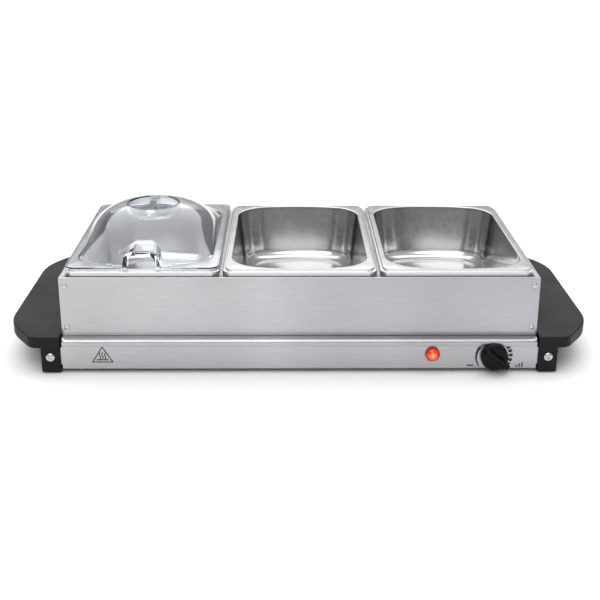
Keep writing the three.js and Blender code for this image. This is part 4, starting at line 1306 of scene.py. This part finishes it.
@dataclass
class Handle:
    """A moulded end handle: a hollow wing with ribs below it, on two hollow legs."""

    finishes: Finishes
    corner: float = 14.0
    tip: float = 85.0
    shoulder: float = 73.0  # from the end of a handle to the straight part of its edge
    slope: float = math.radians(57)
    thickness: float = 12.0
    wall: float = 3.0
    top_edge: float = 1.6
    leg: Pair = (20.3, 36.0)  # width and depth
    leg_corner: float = 1.6
    apron: float = 12.0
    ribs: int = 4
    rib_wall: float = 3.0

    def __post_init__(self) -> None:
        """Measures the right-hand handle."""
        self.span = Span.of("right_handle")
        self.half = self.span.size.y / 2
        self.near, self.far = self.span.low.x, self.span.high.x
        self.low, self.top = self.span.low.z, self.span.high.z
        self.wing_low = self.top - self.thickness

    def wing(self, inset: float, low: float, high: float, soft: float = 0.0) -> BMesh:
        """The wing's outline as a solid.

        Args:
            inset: How far the outline is pulled in.
            low: Its lower face.
            high: Its upper face.
            soft: Round on its upper edge.

        Returns:
            The solid, with its middle on y = 0.
        """
        straight = self.half - self.shoulder
        corner, tip = self.corner - inset, self.tip - inset
        lean = QUARTER_TURN - self.slope
        tip_x, corner_y = self.far - self.tip, self.half - self.corner
        fall = corner_y - straight + (self.corner - self.tip) * math.sin(lean)
        corner_x = tip_x + (self.tip - self.corner) * math.cos(lean) - fall / math.tan(self.slope)
        start = (tip_x + tip * math.cos(lean), -straight - tip * math.sin(lean), low)
        turned_in = (corner_x + corner * math.sin(self.slope), corner_y + corner * math.cos(self.slope), low)
        bm = bmesh.new()
        pen = Pen(bm, (self.near + inset, inset - self.half, low)).line_to((corner_x, inset - self.half, low))
        pen.arc((corner_x, -corner_y, low), self.slope, 10).line_to(start)
        pen.arc((tip_x, -straight, low), lean, 12).line_to((self.far - inset, straight, low))
        pen.arc((tip_x, straight, low), lean, 12).line_to(turned_in)
        pen.arc((corner_x, corner_y, low), self.slope, 10)
        edges = pen.line_to((self.near + inset, self.half - inset, low)).close()
        rise(bm, fill(bm, edges), (0, 0, high - low))
        if soft:
            soften(bm, edges_at(bm, 2, high), soft, 5)
            soften(bm, edges_at(bm, 2, low), soft / 2, 3)
        return bm

    def shape(self) -> BMesh:
        """Shapes the right-hand handle with its middle on y = 0."""
        width, depth = self.leg
        outer, wall = self.near + width, self.wall
        body = cut(
            self.wing(0, self.wing_low, self.top, self.top_edge),
            self.wing(wall, self.wing_low - 1, self.top - wall),
        )
        rooms, roof = [], self.top - wall
        for side in (-1, 1):
            low, high = sorted((side * (self.half - depth), side * self.half))
            body = join(body, block((self.near, low, self.low), (outer, high, roof), self.leg_corner))
            corner = (outer - wall, high - wall, roof - 0.5)
            rooms.append(block((self.near - 1, low + wall, self.low + wall), corner))
        inner = self.half - depth + 1
        foot = (outer - wall, -inner, self.wing_low - self.apron)
        body = join(body, block(foot, (outer, inner, self.top - 1)))
        for i in range(self.ribs):
            y = (i - (self.ribs - 1) / 2) * 2 * (self.half - self.shoulder) / (self.ribs - 1)
            foot = (outer - 1, y - self.rib_wall / 2, self.wing_low + self.top_edge)
            body = join(body, block(foot, (self.far - wall / 2, y + self.rib_wall / 2, self.top - 1)))
        return cut(body, *rooms)

    def build(self) -> None:
        """Builds both handles from one shape."""
        shape, middle = self.shape(), self.span.middle.y
        for name, turn in (("right_handle", 0.0), ("left_handle", math.pi)):
            bm = place(shape.copy(), (0, 0, 0), turn)
            place(bm, (0, middle, 0))
            finish = Finishing("base", "black_plastic", self.finishes.black, crease=30)
            finish.make(bm, f"{name}_moulding", name)
        shape.free()


@dataclass
class Knob:
    """The thermostat's knob: a disc with a waisted grip across it and a pointer at its edge."""

    finishes: Finishes
    radius: float = 14.25
    disc: float = 5.4
    reach: float = 13.65
    half_grip: float = 5.5
    waist: float = 1.3  # how much narrower the grip is at its middle
    pointer: tuple[float, float, float] = (19.4, 4.4, 3.0)  # reach, half width at root and tip
    setting: float = math.radians(38)  # below the horizontal
    chamfer: float = 0.5  # of the disc's rear edge
    shoulder: tuple[float, float, float] = (2.2, 1.9, 0.9)  # face's inset; where its slope starts and turns
    ends: tuple[float, float, float] = (0.6, 0.1, 0.55)  # grip's narrowing at and near its ends, and where
    taper: Pair = (0.93, 0.8)  # grip's face against its root
    rounds: tuple[float, float, float] = (1.4, 0.9, 0.7)  # grip's sides, its face, the pointer
    sunk: float = 0.4  # how far grip and pointer start inside the disc
    blunt: Pair = (1.0, 1.2)  # length and width taken off the pointer's corners
    drop: float = 1.0  # pointer's face behind the disc's
    slot: tuple[float, float, float] = (0.72, 0.7, 0.8)  # share of the reach, half width, depth

    def build(self) -> None:
        """Builds the knob at its setting."""
        span = Span.of("control_knob")
        height, disc, sunk = span.size.y, self.disc, self.sunk
        edge = self.radius - self.chamfer
        inset, start, turn = self.shoulder
        bm = turned(
            [(0, 0), (edge, 0), (self.radius, -self.chamfer), (self.radius, start - disc),
             (edge, turn - disc), (self.radius - inset, -disc), (0, -disc)], (0, 0, 0), 72,
        )
        reach, half, waist = self.reach, self.half_grip, self.half_grip - self.waist
        at_end, near_end, share = self.ends
        tip, bulge = half - at_end, half - near_end
        near = reach * share
        grip = bmesh.new()
        ends = [(-reach, tip), (-near, bulge), (0, waist), (near, bulge), (reach, tip)]
        outline = ends + [(x, -z) for x, z in reversed(ends)]
        pen = Pen(grip, (outline[0][0], sunk - disc, outline[0][1]))
        for x, z in outline[1:]:
            pen.line_to((x, sunk - disc, z))
        top = rise(grip, fill(grip, pen.close()), (0, disc - height - sunk, 0))
        narrow, low = self.taper
        bmesh.ops.scale(grip, vec=(narrow, 1, low), verts=list({v for f in top for v in f.verts}))
        side, face, hand_round = self.rounds
        uprights = [e for e in grip.edges if abs(e.verts[0].co.y - e.verts[1].co.y) > 1]
        soften(grip, uprights, side, 4)
        soften(grip, edges_at(grip, 1, -height), face, 3)
        tip, root, nose = self.pointer
        back, thin = self.blunt
        hand = bmesh.new()
        corners = [(tip - back, nose), (tip, nose - thin), (tip, thin - nose)]
        corners += [(tip - back, -nose), (0, -root)]
        pen = Pen(hand, (0, -sunk, root))
        for x, z in corners:
            pen.line_to((x, -sunk, z))
        rise(hand, fill(hand, pen.close()), (0, self.drop + sunk - disc, 0))
        soften(hand, edges_at(hand, 1, self.drop - disc), hand_round, 3)
        share, half, deep = self.slot
        slot = block((-reach * share, -height - 1, -half), (reach * share, deep - height, half))
        bm = cut(join(bm, hand, grip), slot)
        place(bm, (0, 0, 0), self.setting, "Y")
        axis = Span.of("thermostat_shaft").middle
        place(bm, (axis.x, span.high.y, axis.z))
        finish = Finishing("knob", "black_plastic", self.finishes.knob, crease=34)
        finish.make(bm, "knob_moulding", "control_knob")


@dataclass
class PilotLamp:
    """The pilot lamp: a thin collar round a glowing faceted lens."""

    finishes: Finishes
    collar: float = 7.6
    lens: float = 6.7
    flange: float = 3.2
    gap: float = 0.15  # round the lens
    lip: float = 0.5  # slopes at the collar's mouth and edge
    barrel: float = 0.9  # wall of the collar's barrel, with the gap
    edge: float = 0.7  # depth of the slope at the collar's edge
    stem: tuple[float, float, float] = (0.2, 1.0, 0.6)  # inset of the lens's stem, two depths of its step
    rows: Sequence[float] = (0.25, 0.45, 0.62, 0.78, 0.92, 1.0)  # facets, in shares of a quarter turn
    facets: int = 12

    def build(self) -> None:
        """Builds the collar and the lens."""
        bezel, lens = Span.of("lamp_bezel"), Span.of("lamp_lens")
        at = Vector((lens.middle.x, bezel.low.y, lens.middle.z))
        deep = bezel.size.y
        bore, barrel, lip = self.lens + self.gap, self.lens + self.barrel, self.lip
        bm = turned(
            [(bore, lip), (self.lens + lip, 0), (self.collar - lip, 0), (self.collar, self.edge),
             (self.collar, self.flange), (barrel, self.flange), (barrel, deep), (bore, deep), (bore, lip)],
            at, 64,
        )
        Finishing("base", "black_plastic", self.finishes.collar).make(bm, "pilot_collar", "lamp_bezel")
        dome, back = bezel.low.y - lens.low.y, lens.high.y - bezel.low.y
        inset, end, start = self.stem
        stem = self.lens - inset
        profile = [(0, back), (stem, back), (stem, end), (self.lens, start), (self.lens, 0)]
        for share in self.rows:
            angle = share * QUARTER_TURN
            profile.append((self.lens * math.cos(angle), -dome * math.sin(angle)))
        bm = turned(profile, at, self.facets * 2)
        finish = Finishing("base", "amber_lens", self.finishes.lens, edge=0.12, crease=9)
        finish.make(bm, "pilot_lens", "lamp_lens")


@dataclass
class Fasteners:
    """The rivets of the pan frame and the screws of the handles."""

    finishes: Finishes
    rivet: Pair = (2.8, 1.4)  # radius and height of a head
    screw: Pair = (4.75, 2.6)
    shank: float = 1.9
    recess: Pair = (5.2, 1.15)  # length and width of the cross
    recess_depth: float = 1.7
    recess_turn: float = math.radians(18)
    crowns: Pair = (0.2, 0.3)  # share of the height at which a rivet's and a screw's dome starts

    def head(self, radius: float, height: float, shank: float, deep: float, crown: float) -> BMesh:
        """A domed head facing -y on a shank.

        Args:
            radius: Radius of the head.
            height: Its height.
            shank: Radius of the shank.
            deep: Length of the shank behind the head.
            crown: Share of the height at which the dome starts.

        Returns:
            The solid, with the head's underside on y = 0.
        """
        profile = [(0, deep), (shank, deep), (shank, 0), (radius - 0.2, 0), (radius, -0.2)]
        profile.append((radius, -height * crown))
        for i in range(1, 7):
            angle = i / 6 * QUARTER_TURN
            profile.append((radius * math.cos(angle), -height * (crown + (1 - crown) * math.sin(angle))))
        return turned(profile, (0, 0, 0), 40)

    def build(self) -> None:
        """Builds every rivet and handle screw."""
        for end in ("front", "rear"):
            for side in ("left", "right"):
                for level in ("lower", "upper"):
                    self.fit(f"rivet_{end}_{side}_{level}", "pan_frame", self.rivet, self.crowns[0])
                self.fit(f"handle_screw_{end}_{side}", "base", self.screw, self.crowns[1])

    def fit(self, name: str, body: str, size: Pair, crown: float) -> None:
        """Builds one fastener.

        Args:
            name: The CAD node that it stands for.
            body: The body that it rides.
            size: Radius and height of its head.
            crown: Share of its height at which the dome starts.
        """
        span, rear = Span.of(name), "rear" in name
        bm = self.head(*size, self.shank, span.size.y - size[1], crown)
        if "screw" in name:
            length, width = self.recess
            low, high = -size[1] - 1, self.recess_depth - size[1]
            for x, z in ((length / 2, width / 2), (width / 2, length / 2)):
                arm = block((-x, low, -z), (x, high, z))
                bm = cut(bm, place(arm, (0, 0, 0), self.recess_turn, "Y"))
        place(bm, (0, 0, 0), math.pi if rear else 0.0)
        face = span.high.y - size[1] if rear else span.low.y + size[1]
        place(bm, (span.middle.x, face, span.middle.z))
        steel = self.finishes.rivet
        Finishing(body, "polished_steel", steel, crease=38).make(bm, f"{name}_head", name)


@dataclass
class SmallMouldings:
    """The rubber feet and the cord gland with its nut."""

    finishes: Finishes
    flange: float = 3.0
    bore: float = 3.6
    neck: float = 6.0
    thread: float = 5.4
    nut_slope: float = 3.4
    play: float = 0.3  # of the nut round the thread and the bore
    foot_edge: float = 0.9  # slope round a foot's lower face
    gland_edge: float = 0.6  # slope round the gland's flange
    nut_edge: float = 0.7  # slope round the nut's front face
    nut_turn: tuple[float, float, float] = (0.55, 0.9, 2.4)  # slope's share, insets of its turn and end
    nut_wall: float = 2.0  # thread's end below the nut's face

    def build(self) -> None:
        """Builds the feet, the gland and its nut."""
        for corner in CORNERS:
            self.foot(corner)
        self.gland()
        self.nut()

    def foot(self, corner: str) -> None:
        """Builds a foot.

        Args:
            corner: The corner of the base that it stands at.
        """
        span = Span.of(f"foot_{corner}")
        radius, high, edge = span.size.x / 2, span.size.z, self.foot_edge
        profile = [(0, 0), (radius - edge, 0), (radius, edge), (radius, high), (0, high)]
        bm = turned(profile, (0, 0, 0), 40)
        place(bm, span.middle - Vector((0, 0, high / 2)), QUARTER_TURN, "X")
        Finishing("base", "rubber", self.finishes.rubber).make(bm, f"foot_{corner}_pad", f"foot_{corner}")

    def gland(self) -> None:
        """Builds the cord gland: a flange outside the wall and a threaded barrel through it."""
        gland, nut = Span.of("cord_gland"), Span.of("gland_nut")
        at = Vector((nut.middle.x, nut.low.y, nut.middle.z))
        wide, end, back = gland.size.x / 2, gland.high.y - nut.low.y, gland.low.y - nut.low.y
        edge = self.gland_edge
        bm = turned(
            [(self.bore, end), (self.thread, end), (self.thread, 0), (wide - edge, 0), (wide, -edge),
             (wide, -self.flange), (self.neck, -self.flange), (self.neck, back), (self.bore, back),
             (self.bore, end)],
            at, 56,
        )
        Finishing("base", "black_plastic", self.finishes.black).make(bm, "cord_gland_moulding", "cord_gland")

    def nut(self) -> None:
        """Builds the gland's nut: a hexagon rounded by a dome, with a thread and a bore in it."""
        nut = Span.of("gland_nut")
        radius, long, edge = nut.size.x / 2, nut.size.y, self.nut_edge
        bm = bmesh.new()
        turns = [i * FULL_TURN / 6 for i in range(6)]
        corners = [(radius * math.cos(turn), 0, radius * math.sin(turn)) for turn in turns]
        pen = Pen(bm, corners[0])
        for corner in corners[1:]:
            pen.line_to(corner)
        rise(bm, fill(bm, pen.close()), (0, long, 0))
        share, inset, deepest = self.nut_turn
        dome = turned(
            [(0, -1), (radius - edge, -1), (radius - edge, 0), (radius, edge),
             (radius, long - self.nut_slope), (radius - inset, long - self.nut_slope * share),
             (radius - deepest, long), (0, long)],
            (0, 0, 0), 56,
        )
        bm = combine(bm, dome, "INTERSECT")
        for wide, end in ((self.thread + self.play, long - self.nut_wall), (self.bore + self.play, long + 1)):
            bm = cut(bm, turned([(0, -1), (wide, -1), (wide, end), (0, end)], (0, 0, 0), 40))
        place(bm, Vector((nut.middle.x, nut.low.y, nut.middle.z)))
        finish = Finishing("base", "black_plastic", self.finishes.black, crease=20)
        finish.make(bm, "gland_nut_moulding", "gland_nut")


# ------------------------------------------------------------------ prints


@dataclass
class Prints:
    """Marks printed on the front wall: the heat dial and a hot-surface triangle, without lettering."""

    finishes: Finishes
    lift: float = 0.06  # ink in front of the steel, so that it is seen
    dial: float = 19.7  # outer radius
    band: tuple[float, ...] = (-128, -50, 1.0, 3.4)  # degrees where it starts and ends, widths there
    dashes: Sequence[float] = (56, 71, 87, 104, 120)  # degrees clockwise from the top
    dash: Pair = (5.5, 4.1)  # half its angle and its width
    pen: float = 1.5  # width of the end marks
    ends: tuple[float, float, float] = (-27.5, -21.5, -10.8)  # low mark: two ends and height from the axis
    bars: tuple[float, float, float] = (24.5, 2.9, 1.4)  # high mark: first bar, spacing, growth
    bar_span: Pair = (-12.6, -10.6)  # foot and top of the first bar, from the axis
    sign: tuple[float, ...] = (42.3, 10.6, 12.6, 29.6)  # triangle's middle, half width, foot and top
    sign_lines: tuple[float, ...] = (1.1, 1.2, 1.0)  # widths of the triangle, the bar and the waves
    plate: Pair = (6.0, 2.5)  # half length of the bar in it and its height above the foot
    waves: tuple[float, ...] = (2.7, 0.5, 3.6, 6.4, 7.6)  # spacing, swing, foot, outer and middle height
    wave_steps: int = 12

    def __post_init__(self) -> None:
        """Finds the wall and the knob's axis."""
        self.y = Span.of("base_front_wall").low.y - self.lift
        axis = Span.of("thermostat_shaft").middle
        self.axis = (axis.x, axis.z)
        self.bm = bmesh.new()

    def shape(self, points: Sequence[Pair]) -> None:
        """Adds a flat patch of ink with these corners as x and z."""
        face = self.bm.faces.new([self.bm.verts.new((x, self.y, z)) for x, z in points])
        face.normal_update()
        if face.normal.y > 0:
            face.normal_flip()

    def stroke(self, points: Sequence[Pair], width: float) -> None:
        """Adds a line of ink.

        Args:
            points: The line's corners as x and z.
            width: Its width.
        """
        for first, second in zip(points, points[1:]):
            way = Vector((second[0] - first[0], second[1] - first[1])).normalized() * width / 2
            across = Vector((-way.y, way.x))
            a, b = Vector(first) - way * 0.5, Vector(second) + way * 0.5
            self.shape([tuple(a + across), tuple(b + across), tuple(b - across), tuple(a - across)])

    def arc(self, start: float, end: float, thin: float, thick: float) -> None:
        """Adds a piece of ring about the knob's axis, inside the dial's outer radius.

        Args:
            start: Angle clockwise from the top, in degrees.
            end: The other end.
            thin: Radial thickness at the start.
            thick: Radial thickness at the end.
        """
        steps = max(2, int(abs(end - start) / 3))
        stations = []
        for i in range(steps + 1):
            angle = math.radians(start + (end - start) * i / steps)
            stations.append((angle, self.dial - thin - (thick - thin) * i / steps))
        for (first, near), (second, far) in zip(stations, stations[1:]):
            corners = [(near, first), (self.dial, first), (self.dial, second), (far, second)]
            self.shape([(self.axis[0] + r * math.sin(a), self.axis[1] + r * math.cos(a)) for r, a in corners])

    def build(self) -> None:
        """Prints everything."""
        self.heat_dial()
        self.warning()
        Finishing("base", "black_plastic", self.finishes.ink).make(self.bm, "front_prints")

    def heat_dial(self) -> None:
        """Prints the dial: a widening band, five equal dashes, a bar for low and three rising for high."""
        self.arc(*self.band)
        half, width = self.dash
        for middle in self.dashes:
            self.arc(middle - half, middle + half, width, width)
        x, z = self.axis
        left, right, height = self.ends
        self.stroke([(x + left, z + height), (x + right, z + height)], self.pen)
        first, spacing, growth = self.bars
        foot, top = self.bar_span
        for i in range(3):
            at = x + first + i * spacing
            self.stroke([(at, z + foot), (at, z + top + i * growth)], self.pen)

    def warning(self) -> None:
        """Prints the triangle with three rising heat waves over a bar."""
        from_end, half, low, high = self.sign
        middle = Span.of("base_front_wall").low.x + from_end
        edge, bar, line = self.sign_lines
        self.stroke([(middle - half, low), (middle, high), (middle + half, low), (middle - half, low)], edge)
        reach, above = self.plate
        self.stroke([(middle - reach, low + above), (middle + reach, low + above)], bar)
        spacing, swing, foot, outer, inner = self.waves
        steps = self.wave_steps
        for i in (-1, 0, 1):
            x, tall = middle + i * spacing, outer if i else inner
            path = [(x + swing * math.sin(FULL_TURN * t / steps), low + foot + tall * t / steps)
                    for t in range(steps + 1)]
            self.stroke(path, line)


# --------------------------------------------------------- inside and stage


def dress_inside(finishes: Finishes) -> None:
    """Gives the pieces that are shown as modelled their finishes.

    Args:
        finishes: The finishes.
    """
    dress(finishes.brushed[Axis.Y], "cross_bar_left", "cross_bar_right")
    dress(
        finishes.zinc, "bottom_cover", "element_clamp_left", "element_clamp_right", "heat_reflector",
        "thermostat_screw_left", "thermostat_screw_right", "lamp_retainer", "thermostat_shaft",
        *(f"cover_screw_{corner}" for corner in CORNERS),
    )
    dress(finishes.ceramic, "thermal_fuse", "thermostat_body", "terminal_block")
    dress(finishes.sheath, "heating_element")
    dress(finishes.brown, "mains_wire")
    dress(finishes.white, "heater_wire_front", "heater_wire_rear", "lamp_wire")
    dress(finishes.glass, "neon_lamp")


@dataclass
class Studio:
    """White floor, soft lights and the camera."""

    eye: tuple[float, float, float] = (-13.29, -1205.94, 470.33)  # mm
    pitch: float = 20.09  # degrees below the horizon
    yaw: float = 0.71  # degrees towards +X
    roll: float = 0.196
    lens: float = 65.85  # mm on a 36 mm sensor
    floor: float = 60.0  # m
    sky: Pair = (0.3, 0.68)  # brightness at the horizon and overhead
    key: Pair = (2.1, 84.0)  # power, and degrees that the light covers in the sky
    fill: Pair = (1.0, 50.0)

    def build(self) -> None:
        """Builds the stage."""
        self.floor_sheet()
        self.lights()
        self.world()
        self.camera()

    def floor_sheet(self) -> None:
        """Lays the floor."""
        bm = bmesh.new()
        bmesh.ops.create_grid(bm, x_segments=1, y_segments=1, size=self.floor / 2 / MM)
        sheet = as_object(bm, "studio_floor")
        surface = Surface("white_paper", Roughness=0.9)
        grain = surface.noise((3, 3, 3), 1, 0.4)
        surface.feed("Base Color", surface.blend(grain, "f5f5f5", "f7f7f7"))
        sheet.data.materials.append(surface.material)

    def lights(self) -> None:
        """Hangs the soft lights: a broad one behind, which throws the shadow forward, and a fill."""
        for name, at, (power, spread) in (
            ("key", (-0.05, 1.0, 1.7), self.key),
            ("fill", (-0.2, -1.0, 1.1), self.fill),
        ):
            light = bpy.data.lights.new(name, "SUN")
            light.energy, light.angle = power, math.radians(spread)
            lamp = bpy.data.objects.new(name, light)
            lamp.location = at
            lamp.rotation_euler = (-Vector(at)).to_track_quat("-Z", "Y").to_euler()
            bpy.context.scene.collection.objects.link(lamp)

    def world(self) -> None:
        """Lights the surroundings, darker at the horizon than overhead."""
        world = bpy.data.worlds.new("studio")
        world.use_nodes = True
        tree = world.node_tree
        tree.nodes.clear()
        way = add_node(tree, "ShaderNodeTexCoord").outputs["Generated"]
        parts = add_node(tree, "ShaderNodeSeparateXYZ", links={"Vector": way})
        level = add_node(
            tree, "ShaderNodeMapRange",
            inputs={"From Min": 0.0, "From Max": 0.9, "To Min": self.sky[0], "To Max": self.sky[1]},
            links={"Value": parts.outputs["Z"]},
        )
        glow = add_node(
            tree, "ShaderNodeBackground",
            inputs={"Color": (1, 1, 1, 1)}, links={"Strength": level.outputs["Result"]},
        )
        add_node(tree, "ShaderNodeOutputWorld", links={"Surface": glow.outputs["Background"]})
        bpy.context.scene.world = world
        bpy.context.scene.view_settings.view_transform = "Standard"

    def camera(self) -> None:
        """Sets up the camera."""
        data = bpy.data.cameras.new("camera")
        data.lens, data.sensor_width = self.lens, 36.0
        data.clip_end = 2 * self.floor
        eye = bpy.data.objects.new("camera", data)
        turns = [
            Matrix.Rotation(math.radians(-self.yaw), 4, "Z"),
            Matrix.Rotation(math.radians(90 - self.pitch), 4, "X"),
            Matrix.Rotation(math.radians(self.roll), 4, "Z"),
        ]
        eye.matrix_world = Matrix.Translation(Vector(self.eye) * MM) @ turns[0] @ turns[1] @ turns[2]
        bpy.context.scene.collection.objects.link(eye)
        bpy.context.scene.camera = eye


def main() -> None:
    """Builds every piece and the studio around them."""
    logging.basicConfig(level=logging.INFO, format="%(message)s")
    finishes = Finishes(Span.of("lamp_lens"))
    screw = Span.of("handle_screw_front_left").middle.z - Span.of("base_front_wall").low.z
    ears = (EAR_REACH, screw - EAR_HALF, screw + EAR_HALF)
    WallBox("base", "base", finishes, top_flange=10.0, bottom_flange=14.0, ears=ears).build()
    HotPlate(finishes).build()
    WallBox("frame", "pan_frame", finishes, top_flange=6.5, bottom_flange=8.0, folds=(0.2, 1.0)).build()
    plan = RimPlan()
    pan = FoodPan(plan, finishes)
    for side in ("left", "middle", "right"):
        pan.build(side)
    ServingLid(plan, finishes).build()
    Handle(finishes).build()
    Knob(finishes).build()
    PilotLamp(finishes).build()
    Fasteners(finishes).build()
    SmallMouldings(finishes).build()
    Prints(finishes).build()
    dress_inside(finishes)
    Studio().build()


if __name__ == "__main__":
    main()
